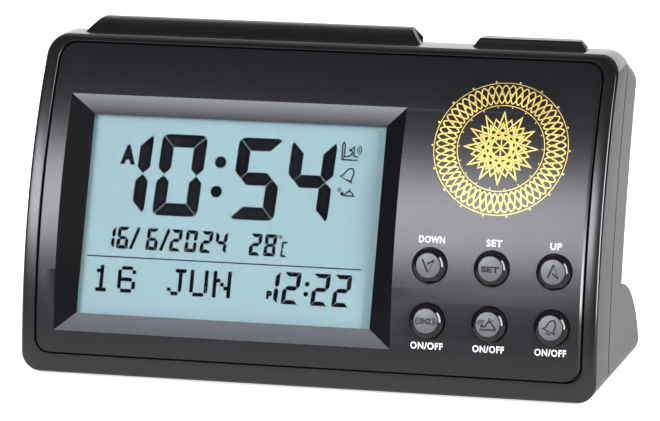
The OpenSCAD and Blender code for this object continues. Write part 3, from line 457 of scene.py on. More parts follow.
def rim_profile():
    """Insets and depths of the rounded outer edge, from the slanted rim to the side."""
    turns = [12, 24, 32, 38, 44, 50, 60, 75, 90]
    runs = [0.05, 0.1, 0.22, 0.22, 0.22, 0.1, 0.08, 0.1]
    back = [(0.0, 0.0)]
    for low, high, run in reversed(list(zip(turns, turns[1:], runs))):
        a = math.radians((low + high) / 2)
        inset, depth = back[-1]
        back.append((inset + run * math.cos(a), depth + run * math.sin(a)))
    whole = back[-1][1] + RIM_DROP
    return [(inset, whole - depth) for inset, depth in reversed(back)]


def polish(ob, index, beyond):
    """Gives the narrow facets at both sides, beyond a distance from the middle, a bright finish.
    They are the faces that stand at 30 to 52 degrees to the face."""
    steep, shallow = 0.62, 0.87
    for facet in ob.data.polygons:
        a = lean_at_height(facet.center.z * 1000 - PAD_H)
        lined_up = facet.normal.dot(Vector((0, -math.cos(a), math.sin(a))))
        if abs(facet.center.x) * 1000 > beyond and steep < lined_up < shallow:
            facet.material_index = index


def front_frame():
    lip_r, seam_gap, groove_w, facet_w, ledge_rear = 0.3, 0.05, 0.6, 0.9, PLATE_T + LEDGE_T
    loops = []
    # a rounded lip leads out of the pocket
    for turn in (90, 67.5, 45, 22.5, 0):
        a = math.radians(turn)
        loops.append(pocket_loop(-lip_r * (1 - math.sin(a)), lip_r * (1 - math.cos(a))))
    # the rim slants back a little, then a narrow facet leads round to the side
    for inset, depth in rim_profile():
        loops.append(case_loop(inset, depth=depth))
    # the side has loops where the top begins to fall
    for y in (TOP_FLAT_Y - 1.2, TOP_FLAT_Y - 0.5, TOP_FLAT_Y, TOP_FLAT_Y + 0.6):
        loops.append(case_loop(0, back=lambda z, y=y: max(
            face_y(z, EDGE_DEEP) + 0.01, min(y, seam_y(z) - seam_gap - groove_w))))
    # its rear edge is eased for the groove along the seam, and reaches in to the wall
    for inset, short in ((0, 0.5), (0.12, 0.25), (0.4, 0), (WALL, 0)):
        loops.append(case_loop(inset, back=lambda z, short=short: seam_y(z) - seam_gap - short))
    loops.append(case_loop(WALL, depth=ledge_rear))
    loops.append(pocket_loop(LEDGE_W, ledge_rear))
    loops.append(pocket_loop(LEDGE_W, PLATE_T))
    loops.append(pocket_loop(0, PLATE_T))
    ob = link("front_frame_moulding", mesh_of(*loft(loops)), MATERIALS["frame_plastic"])
    ob.data.materials.append(FINISH["edge"])
    polish(ob, 1, CASE_W / 2 - facet_w)
    # the tools for the slots of the top keys end well past the frame
    rear, low, high = 60, 80, 100
    slots = []
    for x, length, front in ((BAR_X, BAR_LEN, BAR_Y), (CAP_X, CAP_LEN, CAP_Y)):
        half = length / 2 + SLOT_GAP
        slots.append(box_tool(x - half, x + half, front - SLOT_GAP, rear, low, high))
    modified(ob, cut=slots)
    ob.data.set_sharp_from_angle(angle=math.radians(20))
    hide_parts("front_frame")


# ---------- faceplate with the display recess ----------


def face_rows(low, high, r):
    """Lengths along the face at which the faceplate has a row of points, each with what the
    round corners take off the row's ends. The recess's edges have a row of their own."""
    corner_n, rows_n, apart = 12, 96, 0.3
    turns = [math.radians(90 * i / corner_n) for i in range(corner_n + 1)]
    rows = [(s_at_height(low + r * (1 - math.cos(a))), r * (1 - math.sin(a))) for a in turns]
    first, last = rows[-1][0], s_at_height(high - r)
    marks = [first + (last - first) * i / rows_n for i in range(1, rows_n)]
    marks = [s for s in marks if min(abs(s - RECESS_LOW), abs(s - RECESS_HIGH)) > apart]
    rows += [(s, 0.0) for s in sorted(marks + [RECESS_LOW, RECESS_HIGH])]
    rows += [(s_at_height(high - r * (1 - math.sin(a))), r * (1 - math.cos(a))) for a in turns]
    return rows


def faceplate():
    """A shell along the face, with four bevels down to the window and a hole for each key."""
    gap, shell_t, hole_r = 0.45, 1.4, KEY_R + 0.25
    w, low, high, r = POCKET_W - 2 * gap, POCKET_LOW + gap, POCKET_HIGH - gap, POCKET_R - gap
    # widths of the facets along both sides, and their fall as a share of them
    left_facet, right_facet, facet_fall = 0.3, 0.8, 0.8
    left, right = -VIEW_X - VIEW_W / 2 - BEVEL_W, -VIEW_X + VIEW_W / 2 + BEVEL_W
    verts, faces, index = [], [], {}

    def vert(*p):
        key = tuple(round(c, 5) for c in p)
        if key not in index:
            index[key] = len(verts)
            verts.append(p)
        return index[key]

    def across(s, cut):
        """Six points from side to side: side, facet, recess, recess, facet, side."""
        half = w / 2 - cut
        places = ((-half, -facet_fall * left_facet), (-half + left_facet, 0), (left, 0),
                  (right, 0), (half - right_facet, 0), (half, -facet_fall * right_facet))
        return [vert(*face_point(x, s, h)) for x, h in places]

    def inner(side, s):
        """The window's edge inside a point of the recess's edge."""
        share = (s - RECESS_LOW) / (RECESS_HIGH - RECESS_LOW) - 0.5
        return vert(*WINDOW.at(side * VIEW_W / 2, share * VIEW_H))

    rows = face_rows(low, high, r)
    for (s0, cut0), (s1, cut1) in zip(rows, rows[1:]):
        a, b = across(s0, cut0), across(s1, cut1)
        inside = RECESS_LOW - 0.01 < s0 and s1 < RECESS_HIGH + 0.01
        faces += [(a[k], a[k + 1], b[k + 1], b[k]) for k in range(5) if k != 2 or not inside]
        if inside:
            faces.append((a[2], inner(-1, s0), inner(-1, s1), b[2]))
            faces.append((inner(1, s0), a[3], b[3], inner(1, s1)))
    for s in (RECESS_LOW, RECESS_HIGH):
        faces.append((vert(*face_point(left, s)), vert(*face_point(right, s)), inner(1, s),
                      inner(-1, s)))
    ob = link("faceplate_panel", mesh_of(verts, faces, weld=0.001), MATERIALS["face_plastic"])
    number = {}
    for finish in ("painted_shade_black", "painted_light_bevel", "recess_low", "edge"):
        number[finish] = len(ob.data.materials)
        ob.data.materials.append(FINISH[finish])
    # the upper bevel takes the painted light, the lower one the painted half light, and the sides
    # the painted shade
    for wall in ob.data.polygons:
        x, z = wall.center.x * 1000, wall.center.z * 1000 - PAD_H
        if left < x < right and RECESS_LOW < s_at_height(z) < RECESS_HIGH:
            lengthwise = "painted_light_bevel" if z > CASE_H / 2 else "recess_low"
            wall.material_index = number[lengthwise if abs(x + VIEW_X) < 1 else "painted_shade_black"]
    polish(ob, number["edge"], w / 2 - right_facet)
    solid = ob.modifiers.new("solid", "SOLIDIFY")
    solid.thickness, solid.offset = shell_t * 0.001, -1
    solid.use_even_offset = True
    # the plate's cut sides get the black painted shade of the recess's sides, beside the bright
    # facets
    solid.material_offset_rim = number["painted_shade_black"] - number["edge"]
    rear, front = -6, 3
    holes = []
    for u, v in KEY_PLACES.values():
        rings = [[KEYS.at(*p, h) for p in circle(u, v, hole_r)] for h in (rear, front)]
        holes.append(tool(*loft(rings, closed=False)))
    modified(ob, cut=holes, bevel=0.28, segments=3, angle=32)
    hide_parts("faceplate")


# ---------- keys on the face ----------


def turned(u, v, profile):
    """A turned piece on the plane of the keys, from its radii and heights."""
    return mesh_of(*loft([[KEYS.at(*p, h) for p in circle(u, v, r)] for r, h in profile],
                         closed=False))


def flank(top):
    """The sloping ring round the disc: radii and heights from its foot to its upper edge."""
    tilts = [80, 65, 52, 46, 43, 40, 37, 34, 22, 8]
    steps = [0.12, 0.12, 0.12, 0.34, 0.34, 0.34, 0.34, 0.2, 0.06, 0.05]
    runs = [(s * math.cos(math.radians(a)), s * math.sin(math.radians(a)))
            for a, s in zip(tilts, steps)]
    r, h = KEY_R, top - sum(rise for _, rise in runs)
    pts = [(r, h)]
    for run, rise in runs:
        r, h = r - run, h + rise
        pts.append((r, h))
    return pts


def keys():
    """Each key is a black cap, with a shank towards its switch, a flange behind the faceplate
    and a shallow seat for its grey disc."""
    axis, shank_r, shank_end = 0.01, 1.9, -6.4
    flange_r, flange_rear, flange_front, ease = 5.95, -3.35, -2.7, 0.05
    seat_r, seat_h = DISC_R + 0.06, KEY_TOP - 0.25
    cap = [(axis, shank_end), (shank_r, shank_end), (shank_r, flange_rear),
           (flange_r - ease, flange_rear), (flange_r, flange_rear + ease),
           (flange_r, flange_front - ease), (flange_r - ease, flange_front),
           (KEY_R, flange_front)]
    cap += flank(KEY_TOP) + [(seat_r, KEY_TOP - 0.03), (seat_r, seat_h), (axis, seat_h)]
    edge_r, disc_low = 0.12, KEY_TOP - 0.3
    disc = [(axis, disc_low), (DISC_R, disc_low)]
    disc += arc(DISC_R - edge_r, DISC_TOP - edge_r, edge_r, 0, 30, 4) + [(axis, DISC_TOP)]
    for name, (u, v) in KEY_PLACES.items():
        ob = link(name + "_button_cap", turned(u, v, cap), MATERIALS["key_plastic"],
                  name + "_button", smooth=40)
        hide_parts(name + "_key")
        link(name + "_button_disc", turned(u, v, disc), INK["disc"],
             name + "_button", smooth=40)


# ---------- keys on top ----------

# how far a crown's ends lean in, per millimetre up and per millimetre back
END_SLOPE, END_TAPER = 0.7, 0.2
# the skin of a hollow foot, and where the switches and springs stand
SKIN, TOP_AXIS_Y = 1.6, 43.2
# posts below a crown: their radii, the end of the pressers, and their root in the crown
PRESSER_R, SEAT_R, PIN_R, PRESSER_END, POST_TOP = 2.0, 2.7, 1.2, 89.1, 93.5


def under(y, z):
    """Height z on the flat part of the top, carried back along its fall."""
    return z - max(0, y - TOP_FLAT_Y) * math.tan(TOP_FALL)


def post_tool(x, r, z0, z1):
    rings = [[(*p, z) for p in circle(x, TOP_AXIS_Y, r, 24)] for z in (z0, z1)]
    return tool(*loft(rings, closed=False))


def top_key(name, node, body, x0, length, front, rear, crown, reach):
    """A key whose foot fills its slot up to the top of the case; the crown above it is a side
    view run along X, with ends that lean in upwards and backwards. The foot is hollow, so that
    the key clears the switches. A presser in its middle meets its switch, and its springs sit
    on pins at both sides, a reach away."""
    low, flush = CASE_H - WALL - 1.4, CASE_H - 0.15
    foot = prism_tool(x0, length, [
        (front, low), (front, flush), (TOP_FLAT_Y, flush), (rear, under(rear, flush)),
        (rear, under(rear, low)), (TOP_FLAT_Y, low)])
    below, roof, back = low - 9, flush - SKIN, rear - SKIN
    room = prism_tool(x0, length - 2 * SKIN, [
        (front + SKIN, below), (front + SKIN, roof), (TOP_FLAT_Y, roof),
        (back, under(back, roof)), (back, below)])
    modified(foot, cut=[room])
    loops = []
    for share in (0, 0.04, 0.12, 0.5, 0.88, 0.96, 1):
        loop = []
        for y, z in crown:
            half = length / 2 - END_SLOPE * max(0.0, z - CASE_H) - END_TAPER * (y - front)
            loop.append((x0 + half * (2 * share - 1), y, z))
        loops.append(loop)
    ob = link(name, mesh_of(*loft(loops, closed=False)), MATERIALS["top_plastic"],
              body)
    seat_low, pin_low, pin_root = low + 0.25, low - 3.5, low + 1
    posts = [post_tool(x0, PRESSER_R, PRESSER_END, POST_TOP)]
    for x in (x0 - reach, x0 + reach):
        posts += [post_tool(x, SEAT_R, seat_low, POST_TOP), post_tool(x, PIN_R, pin_low, pin_root)]
    modified(ob, add=[foot], bevel=0.3, segments=4, angle=28)
    modified(ob, add=posts)
    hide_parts(node)


def top_keys():
    sunk = CASE_H - 1.5
    # the bar is round on top, the cap flat
    round_r, steps = 8.2, 28
    middle_y = BAR_Y + math.sqrt(round_r ** 2 - (round_r - BAR_RISE) ** 2)
    middle_z = CASE_H + BAR_RISE - round_r
    rear = middle_y + round_r
    start = math.degrees(math.acos((BAR_Y - middle_y) / round_r))
    crown = [(BAR_Y, sunk)] + arc(middle_y, middle_z, round_r, start, -start / steps, steps + 1)
    crown += [(rear, under(rear, sunk)), (TOP_FLAT_Y, sunk)]
    top_key("snooze_bar_moulding", "top_bar", "snooze_bar", BAR_X, BAR_LEN, BAR_Y, rear, crown,
            0.38 * BAR_LEN)
    cap_depth, top = 12.4, CASE_H + CAP_RISE
    rear = CAP_Y + cap_depth
    crown = [(CAP_Y, sunk), (CAP_Y, CASE_H), (CAP_Y + 0.3, top - 0.5), (CAP_Y + 0.9, top),
             (TOP_FLAT_Y, top), (rear - 1, under(rear - 1, top)), (rear, sunk),
             (rear, under(rear, sunk)), (TOP_FLAT_Y, sunk)]
    top_key("top_button_moulding", "top_cap", "top_button", CAP_X, CAP_LEN, CAP_Y, rear, crown,
            CAP_LEN / 3)


# ---------- printed and segment shapes ----------


class Ink:
    """Flat shapes in two coordinates, laid on a surface as one thin piece."""

    def __init__(self, at, low, high):
        self.at, self.low, self.high = at, low, high
        self.verts, self.faces = [], []

    def poly(self, pts):
        """An outline as a thin prism."""
        n, base = len(pts), len(self.verts)
        for h in (self.low, self.high):
            self.verts += [self.at(u, v, h) for u, v in pts]
        self.faces.append(tuple(base + n + i for i in range(n)))
        self.faces.append(tuple(base + n - 1 - i for i in range(n)))
        for i in range(n):
            j = (i + 1) % n
            self.faces.append((base + i, base + j, base + n + j, base + n + i))

    def dot(self, u, v, r, n=24):
        self.poly(circle(u, v, r, n))

    def box(self, u0, v0, u1, v1):
        self.poly([(u0, v0), (u1, v0), (u1, v1), (u0, v1)])

    def stroke(self, pts, width, closed=False, step=0):
        """A ribbon along the points, mitred at its bends; step splits long runs."""
        if step:
            fine = []
            for (x0, y0), (x1, y1) in zip(pts, pts[1:] + pts[:1] if closed else pts[1:]):
                parts = max(1, math.ceil(math.hypot(x1 - x0, y1 - y0) / step))
                fine += [(x0 + (x1 - x0) * k / parts, y0 + (y1 - y0) * k / parts)
                         for k in range(parts)]
            pts = fine if closed else fine + [pts[-1]]
        n = len(pts)
        left, right = [], []
        for i, (x, y) in enumerate(pts):
            before = pts[i - 1] if (i or closed) else None
            after = pts[(i + 1) % n] if (i < n - 1 or closed) else None
            dirs = []
            for p, q in ((before, (x, y)), ((x, y), after)):
                if p is None or q is None:
                    continue
                d = math.hypot(q[0] - p[0], q[1] - p[1]) or 1e-9
                dirs.append(((q[0] - p[0]) / d, (q[1] - p[1]) / d))
            dx, dy = sum(d[0] for d in dirs), sum(d[1] for d in dirs)
            d = math.hypot(dx, dy) or 1e-9
            dx, dy = dx / d, dy / d
            half = width / 2 / max(0.5, dx * dirs[0][0] + dy * dirs[0][1])
            left.append((x - dy * half, y + dx * half))
            right.append((x + dy * half, y - dx * half))
        base = len(self.verts)
        for h in (self.low, self.high):
            for a, b in zip(left, right):
                self.verts += [self.at(*a, h), self.at(*b, h)]
        top = base + 2 * n
        for i in range(n if closed else n - 1):
            a, b = 2 * i, 2 * ((i + 1) % n)
            self.faces.append((top + a, top + a + 1, top + b + 1, top + b))
            self.faces.append((base + a, base + b, base + b + 1, base + a + 1))
            self.faces.append((base + a, top + a, top + b, base + b))
            self.faces.append((base + a + 1, base + b + 1, top + b + 1, top + a + 1))
        if not closed:
            e = 2 * n - 2
            self.faces.append((base, base + 1, top + 1, top))
            self.faces.append((base + e, top + e, top + e + 1, base + e + 1))

    def text(self, words, u, v, tall, wide, bold=0.0, space=1.0):
        """Lettering centred at u, v, stretched to a height and a width."""
        curve = bpy.data.curves.new("lettering", "FONT")
        curve.body, curve.size, curve.align_x = words, 1.0, "LEFT"
        curve.offset, curve.space_character = bold, space
        curve.resolution_u = 4
        ob = bpy.data.objects.new("lettering", curve)
        bpy.context.scene.collection.objects.link(ob)
        graph = bpy.context.evaluated_depsgraph_get()
        mesh = bpy.data.meshes.new_from_object(ob.evaluated_get(graph))
        co = [p.co for p in mesh.vertices]
        x0, x1 = min(p.x for p in co), max(p.x for p in co)
        y0, y1 = min(p.y for p in co), max(p.y for p in co)
        flat = [((p.x - (x0 + x1) / 2) * wide / (x1 - x0) + u,
                 (p.y - (y0 + y1) / 2) * tall / (y1 - y0) + v) for p in co]
        n, base = len(flat), len(self.verts)
        for h in (self.low, self.high):
            self.verts += [self.at(*p, h) for p in flat]
        edges = {}
        for face in mesh.polygons:
            ids = list(face.vertices)
            self.faces.append(tuple(base + n + i for i in ids))
            self.faces.append(tuple(base + i for i in reversed(ids)))
            for i, j in zip(ids, ids[1:] + ids[:1]):
                edges[(i, j)] = True
        for i, j in edges:
            if (j, i) not in edges:
                self.faces.append((base + i, base + j, base + n + j, base + n + i))
        bpy.data.objects.remove(ob)
        bpy.data.curves.remove(curve)
        bpy.data.meshes.remove(mesh)

    def done(self, name, material, slot, body="case"):
        link(name, mesh_of(self.verts, self.faces, weld=None), INK[material], body)


def bell(u, v, size, turn):
    """Outline of a bell about its middle."""
    half = [(0, 1.25), (0.28, 1.1), (0.62, 0.75), (0.72, 0.1), (0.85, -0.55), (1.15, -0.85)]
    pts = half + [(-x, y) for x, y in reversed(half[1:])]
    a = math.radians(turn)
    return [(u + size * (x * math.cos(a) - y * math.sin(a)),
             v + size * (x * math.sin(a) + y * math.cos(a))) for x, y in pts]


# ---------- display content ----------

SLANT = 0.056
SEGMENTS = {"0": "abcdef", "1": "bc", "2": "abged", "3": "abgcd", "4": "fgbc", "5": "afgcd",
            "6": "afgedc", "7": "abc", "8": "abcdefg", "9": "abfgcd", "C": "afed"}
MIRRORED = {"b": "f", "c": "e"}
DOTS = {"1": ["00100", "01100", "00100", "00100", "00100", "00100", "01110"],
        "6": ["01110", "10001", "10000", "11110", "10001", "10001", "01110"],
        "J": ["00111", "00010", "00010", "00010", "00010", "10010", "01100"],
        "U": ["10001", "10001", "10001", "10001", "10001", "10001", "01110"],
        "N": ["10001", "10001", "11001", "10101", "10011", "10001", "10001"]}


def seven(ink, char, u, v, w, h, t, gap, corner=0.0):
    """A slanted seven-segment sign of width w and height h, with its lower left corner at u, v;
    t is the width of a segment, and corner the slope at its outer corners."""
    m, g, c, c3 = h / 2, gap / 2, corner, corner * 0.3
    shapes = {
        "a": [(g + c, h), (w - g - c, h), (w - g - c3, h - c3), (w - t - g, h - t),
              (t + g, h - t), (g + c3, h - c3)],
        "d": [(g + c, 0), (g + c3, c3), (t + g, t), (w - t - g, t), (w - g - c3, c3),
              (w - g - c, 0)],
        "g": [(g + t / 2, m), (t + g, m + t / 2), (w - t - g, m + t / 2), (w - g - t / 2, m),
              (w - t - g, m - t / 2), (t + g, m - t / 2)],
        "f": [(0, h - g - c), (c3, h - g - c3), (t, h - t - g), (t, m + t / 2 + g),
              (t / 2, m + g), (0, m + t / 2 + g)],
        "e": [(0, g + c), (0, m - t / 2 - g), (t / 2, m - g), (t, m - t / 2 - g), (t, t + g),
              (c3, g + c3)],
    }
    for k in SEGMENTS[char]:
        pts = shapes[k] if k in shapes else [(w - x, y) for x, y in shapes[MIRRORED[k]]]
        ink.poly([(u + x + y * SLANT, v + y) for x, y in pts])


# in the rows below, bar is the width of a segment
def main_time(ink):
    base, tall, bar, gap = 0.55, 23.9, 3.75, 0.24
    ink.text("A", -33.0, 17.9, 5.8, 4.5, bold=0.075)
    for char, u, w in (("1", -38.6, 11.7), ("0", -24.3, 13.6), ("5", -1.2, 13.5),
                       ("4", 14.7, 13.4)):
        seven(ink, char, u, base, w, tall, bar, gap, corner=1.6)
    for u, v in ((-5.0, 16.9), (-5.5, 8.3)):
        ink.dot(u, v, 1.72)


def date_and_warmth(ink):
    """Day, month and year with their strokes, the degrees, and the line below the row."""
    base, wide, tall, bar, gap = -9.7, 3.5, 6.4, 1.05, 0.16
    for char, u in (("1", -38.3), ("6", -34.2), ("6", -25.3), ("2", -18.2), ("0", -13.6),
                    ("2", -9.0), ("4", -4.6), ("2", 5.7), ("8", 10.1)):
        seven(ink, char, u, base, wide, tall, bar, gap, corner=0.35)
    for u in (-29.8, -20.7):
        ink.stroke([(u, base), (u + 2.2, base + tall)], 0.95)
    seven(ink, "C", 15.2, base, 1.9, 4.5, 0.6, 0.12)
    ink.stroke(circle(14.95, -3.9, 0.36, 14), 0.26, closed=True)
    ink.box(-42.6, -12.32, 39.5, -12.0)


def day_and_month(ink):
    """Letters of five by seven cells, whose dots almost touch."""
    top, cell_w, cell_h, lap, dot_w, dot_h = -15.8, 1.08, 1.1, 0.02, 1.06, 1.07
    for char, u in (("1", -40.3), ("6", -32.7), ("J", -17.6), ("U", -10.9), ("N", -4.0)):
        for row, line in enumerate(DOTS[char]):
            for col, on in enumerate(line):
                if on == "1":
                    x, y = u + col * cell_w, top - row * cell_h
                    ink.box(x - lap, y - lap, x + dot_w, y + dot_h)


def second_time(ink):
    base, tall, bar, gap = -23.2, 9.3, 1.25, 0.2
    ink.text("P", 13.0, -20.8, 2.4, 1.7, bold=0.07)
    for char, u, w in (("1", 10.6, 4.8), ("2", 16.6, 5.0), ("2", 25.3, 5.0), ("2", 31.6, 5.0)):
        seven(ink, char, u, base, w, tall, bar, gap)
    for u, v in ((24.0, -17.1), (23.8, -20.0)):
        ink.dot(u, v, 0.7)


def function_marks(ink):
    """Small marks at the right edge: a tower with a horn, a bell, and a dome with waves."""
    line, wave = 0.38, 0.26
    ink.stroke([(31.0, 19.3), (35.8, 19.3)], line)
    ink.stroke([(31.0, 19.3), (31.0, 20.2), (30.9, 23.6), (31.3, 24.5), (31.7, 23.6), (31.6, 20.2),
                (31.6, 19.3)], line)
    ink.stroke([(31.8, 20.2), (33.2, 20.4), (33.9, 21.3), (34.6, 20.4), (35.8, 20.2)], line)
    ink.stroke([(33.0, 22.4), (33.7, 22.4), (34.5, 23.2), (34.5, 21.2), (33.7, 22.0), (33.0, 22.0)],
               line)
    for r in (0.7, 1.3, 1.9):
        ink.stroke(arc(34.7, 22.3, r, -45, 15, 7), wave)
    ink.stroke(bell(33.4, 14.9, 1.75, -28), line, closed=True)
    ink.stroke([(33.1, 13.6), (33.6, 13.2), (34.2, 13.3)], line)
    ink.stroke([(32.0, 8.9), (35.7, 8.9)], line)
    ink.stroke([(32.6, 9.0), (33.3, 9.9), (34.0, 10.2), (34.7, 9.9), (35.4, 9.0)], line)
    ink.stroke([(34.0, 10.2), (34.0, 11.0)], line)
    ink.dot(31.9, 9.5, 0.5)
    for r in (1.1, 1.7):
        ink.stroke(arc(31.9, 9.5, r, 100, 14, 5), wave)


def display():
    ink = Ink(lambda u, v, h: WINDOW.at(u, v, LCD_Z + h), 0.01, 0.05)
    for fill in (main_time, date_and_warmth, day_and_month, second_time, function_marks):
        fill(ink)
    ink.done("display_segments", "segment", "lcd")


def lens():
    """Clear plate in front of the display, a hair off the cell."""
    soft, rear, lap = 0.15, LCD_Z + 0.08, 2
    loops = []
    for inset, z in ((soft, rear), (0, rear + soft), (0, LENS_Z - soft), (soft, LENS_Z)):
        a, b = VIEW_W / 2 + lap - inset, VIEW_H / 2 + lap - inset
        loops.append([WINDOW.at(u, v, z) for u, v in ((-a, -b), (a, -b), (a, b), (-a, b))])
    ob = link("display_lens", mesh_of(*loft(loops, closed=False)), MATERIALS["lens"])
    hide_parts("lcd_lens")


# ---------- marks on the keys and the faceplate ----------


def on_key(name):
    """Ink on a key's disc, about its middle."""
    u0, v0 = KEY_PLACES[name]
    return Ink(lambda u, v, h: KEYS.at(u0 + u, v0 + v, DISC_TOP + h), -0.03, 0.02)


def key_marks():
    marks = {name: on_key(name) for name in KEY_PLACES}
    ink = marks["down"]
    ink.stroke([(-1.75, 1.8), (0.0, -1.95)], 0.55)
    ink.stroke([(-0.3, 0.45), (1.7, 1.55)], 0.5)
    ink.stroke([(0.1, -1.8), (1.6, 1.5)], 0.2)
    marks["set"].text("SET", 0, -0.2, 1.75, 5.2, bold=0.05)
    ink = marks["up"]
    ink.stroke([(-1.45, -1.75), (0.2, 2.1)], 0.55)
    ink.stroke([(-0.15, -0.4), (1.7, -1.75)], 0.5)
    ink.stroke([(0.3, 1.9), (1.65, -1.6)], 0.2)
    ink = marks["snooze"]
    ink.text("SNZ", 0, 0, 1.7, 3.5, bold=0.05)
    for side in (-1, 1):
        for r in (2.3, 2.85):
            ink.stroke([(side * x, 0.7 * y) for x, y in arc(0, 0, r, -35, 10, 8)], 0.3)
    ink = marks["azan"]
    ink.stroke([(-2.3, -1.5), (2.4, -1.5)], 0.45)
    ink.stroke([(-1.1, -0.9), (-0.3, 0.2), (0.3, 0.9), (1.0, 0.4), (1.7, -0.4), (2.3, -1.3)], 0.5)
    ink.stroke([(0.3, 0.9), (0.5, 1.9)], 0.4)
    ink.stroke([(0.5, 0.9), (1.6, 1.2)], 0.3)
    ink.dot(-1.7, -0.4, 0.5)
    for r in (1.0, 1.6):
        ink.stroke(arc(-1.7, -0.4, r, 60, 20, 6), 0.34)
    ink = marks["alarm"]
    ink.stroke(bell(0.15, 0.3, 1.6, -24), 0.46, closed=True)
    ink.stroke([(-1.1, -1.1), (-0.6, -1.75), (0.2, -1.8)], 0.46)
    for name, ink in marks.items():
        ink.done(name + "_button_mark", "engraved", "key_plastic", name + "_button")


def labels():
    ink = Ink(face_point, -0.05, 0.035)
    for words, x, s, width in (
            ("DOWN", 36.2, 44.25, 7.5), ("SET", 54.3, 44.05, 4.5), ("UP", 72.1, 44.0, 3.3),
            ("ON/OFF", 36.0, 14.1, 9.4), ("ON/OFF", 53.9, 14.1, 9.1),
            ("ON/OFF", 71.8, 14.1, 9.1)):
        ink.text(words, x, s, 2.0, width, bold=0.025, space=1.14)
    ink.done("function_labels", "print", "face_plastic")


def polar(r, a):
    return r * math.cos(a), r * math.sin(a)


def ornament():
    """A ring of interlaced waves round a twelve-pointed star, in gold foil."""
    cx, cs = 53.8, 71.4
    ink = Ink(lambda u, v, h: face_point(cx + u, cs + v, h), -0.05, 0.03)
    for r, w in ((12.6, 0.22), (19.4, 0.2)):
        ink.stroke(circle(0, 0, r, 120), w, closed=True)
    # three waves, a third of a wave apart, with a dot at each half wave
    waves, wave_r, swing = 18, 16.0, 2.7
    turn = [math.tau * i / 360 for i in range(360)]
    for phase in range(3):
        shift = phase * math.tau / 3
        ink.stroke([polar(wave_r + swing * math.sin(waves * a + shift), a) for a in turn], 0.38,
                   closed=True)
    for i in range(waves * 2):
        ink.dot(*polar(wave_r, math.tau * (i + 0.5) / (waves * 2)), 0.28, 10)
    for i in range(waves):
        a = math.tau * i / waves
        ink.dot(*polar(19.9, a), 0.3, 10)
        ink.dot(*polar(12.1, a), 0.2, 8)
    # a star of one line, four triangles, twelve petals, and eight spokes from a hub
    points, step = 12, 1.2
    star = [polar(10.6, math.tau * (5 * i % points) / points) for i in range(points)]
    ink.stroke(star, 0.42, closed=True, step=step)
    for k in range(4):
        triangle = [polar(8.6, math.tau * (k + 4 * j + 0.5) / points) for j in range(3)]
        ink.stroke(triangle, 0.36, closed=True, step=step)
    for i in range(points):
        a = math.tau * i / points
        petal = [polar(3.4, a), polar(5.2, a + 0.17), polar(7.4, a), polar(5.2, a - 0.17)]
        ink.stroke(petal, 0.36, closed=True, step=step)
    ink.stroke(circle(0, 0, 3.0, 40), 0.4, closed=True)
    for inner, outer in zip(circle(0, 0, 0.4, 8), circle(0, 0, 2.6, 8)):
        ink.stroke([inner, outer], 0.34, step=step)
    ink.dot(0, 0, 0.6)
    ink.done("gold_rosette", "gold", "face_plastic")


# ---------- stage, light and camera, in metres ----------


def white_stage(name, verts, lift, mirrored):
    """A white plane: lift whitens what the camera sees of it, mirrored what gloss and glass show."""
    mesh = bpy.data.meshes.new(name)
    mesh.from_pydata(verts, [], [(0, 1, 2, 3)])
    ob = bpy.data.objects.new(name, mesh)
    bpy.context.scene.collection.objects.link(ob)
    material, tree, surface = principled(name, {
        "Base Color": (0.9, 0.9, 0.9, 1), "Roughness": 0.9, "Specular IOR Level": 0.0})
    ray = tree.nodes.new("ShaderNodeLightPath").outputs
    seen = calc(tree, "MAXIMUM", ray["Is Glossy Ray"], ray["Is Transmission Ray"])
    strength = calc(tree, "MULTIPLY_ADD", ray["Is Camera Ray"], lift,
                    calc(tree, "MULTIPLY", seen, mirrored))
    glow = tree.nodes.new("ShaderNodeEmission")
    both = tree.nodes.new("ShaderNodeAddShader")
    tree.links.new(strength, glow.inputs["Strength"])
    tree.links.new(surface.outputs["BSDF"], both.inputs[0])
    tree.links.new(glow.outputs["Emission"], both.inputs[1])
    tree.links.new(both.outputs["Shader"], tree.nodes["Material Output"].inputs["Surface"])
    mesh.materials.append(material)


def stage():
    half, front, rear, high = 2.5, -0.3, 2.2, 2.5
    white_stage("floor", [(-half, front, 0), (half, front, 0), (half, rear, 0),
                          (-half, rear, 0)], 0.75, 0.25)
    white_stage("backdrop", [(-half, rear, 0), (half, rear, 0), (half, rear, high),
                             (-half, rear, high)], 0.95, 1.6)


def room():
    """A bright sweep behind and above the clock, and a dim room in front of it; the camera
    itself sees white."""
    world = bpy.data.worlds.new("studio")
    bpy.context.scene.world = world
    world.use_nodes = True
    tree = world.node_tree
    sky = tree.nodes["Background"]
    sky.inputs["Color"].default_value = (1, 1, 1, 1)
    slope = tree.nodes.new("ShaderNodeVectorMath")
    slope.operation = "DOT_PRODUCT"
    slope.inputs[1].default_value = (0, 1, 0.6)
    way = tree.nodes.new("ShaderNodeTexCoord")
    tree.links.new(way.outputs["Generated"], slope.inputs[0])
    sweep = mapped(tree, slope.outputs["Value"], (0.2, 0.9), (0.04, 0.38))
    ray = tree.nodes.new("ShaderNodeLightPath").outputs
    tree.links.new(calc(tree, "MAXIMUM", sweep, ray["Is Camera Ray"]), sky.inputs["Strength"])


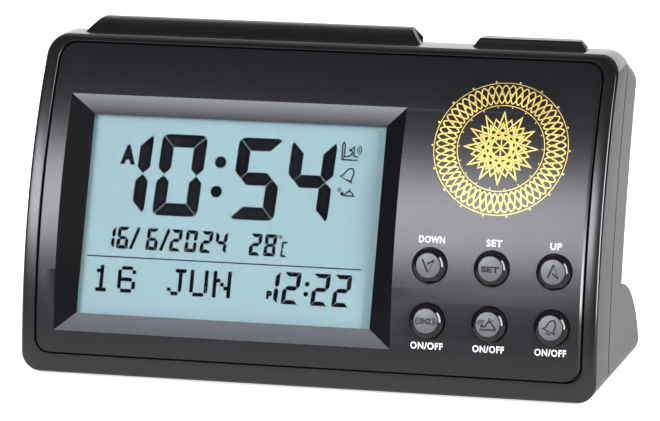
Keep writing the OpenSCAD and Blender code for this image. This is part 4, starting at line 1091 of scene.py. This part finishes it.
def lamp(name, azimuth, elevation, distance, wide, tall, radiance, tint=(1, 1, 1)):
    """A soft box aimed at the clock; azimuth 0 is in front and grows towards its right side."""
    aim = Vector((0, 0, 0.045))
    a, e = math.radians(azimuth), math.radians(elevation)
    way = Vector((math.sin(a) * math.cos(e), -math.cos(a) * math.cos(e), math.sin(e)))
    data = bpy.data.lights.new(name, "AREA")
    data.shape, data.size, data.size_y = "RECTANGLE", wide, tall
    data.energy = radiance * math.pi * wide * tall
    data.color = tint
    ob = bpy.data.objects.new(name, data)
    bpy.context.scene.collection.objects.link(ob)
    ob.location = aim + way * distance
    ob.rotation_mode = "QUATERNION"
    ob.rotation_quaternion = (-way).to_track_quat("-Z", "Y")


def lamps():
    lamp("front_box", -24, 24, 1.6, 1.05, 0.54, 14.5, tint=(0.96, 0.98, 1.05))
    lamp("side_strip", 62, 22, 1.5, 0.3, 1.2, 26.0)
    lamp("top_box", 195, 66, 1.6, 1.2, 0.4, 0.6)


def camera():
    """The photo's camera, as fitted to the outline, the display and the keys."""
    azimuth, elevation, roll = (math.radians(a) for a in (15.4111, 11.7469, -0.3495))
    aim, distance, focal_mm = place(2.7085, 20.0, 47.6232), 1.28834, 244.87
    level = math.cos(elevation)
    back = Vector((math.sin(azimuth) * level, -math.cos(azimuth) * level, math.sin(elevation)))
    across = (-back).cross(Vector((0, 0, 1))).normalized()
    up = across.cross(-back)
    rolled_across = across * math.cos(roll) + up * math.sin(roll)
    rolled_up = up * math.cos(roll) - across * math.sin(roll)
    data = bpy.data.cameras.new("photo_camera")
    data.sensor_fit, data.sensor_width, data.lens = "HORIZONTAL", 36, focal_mm
    data.clip_start, data.clip_end = 0.05, 20
    ob = bpy.data.objects.new("photo_camera", data)
    bpy.context.scene.collection.objects.link(ob)
    columns = (rolled_across, rolled_up, back, aim + back * distance)
    pose = Matrix.Identity(4)
    for i in range(3):
        pose[i] = [column[i] for column in columns]
    ob.matrix_world = pose
    bpy.context.scene.camera = ob


dress_nodes()
front_frame()
faceplate()
keys()
top_keys()
display()
lens()
key_marks()
labels()
ornament()
stage()
room()
lamps()
camera()
bpy.context.scene.view_settings.view_transform = "Standard"
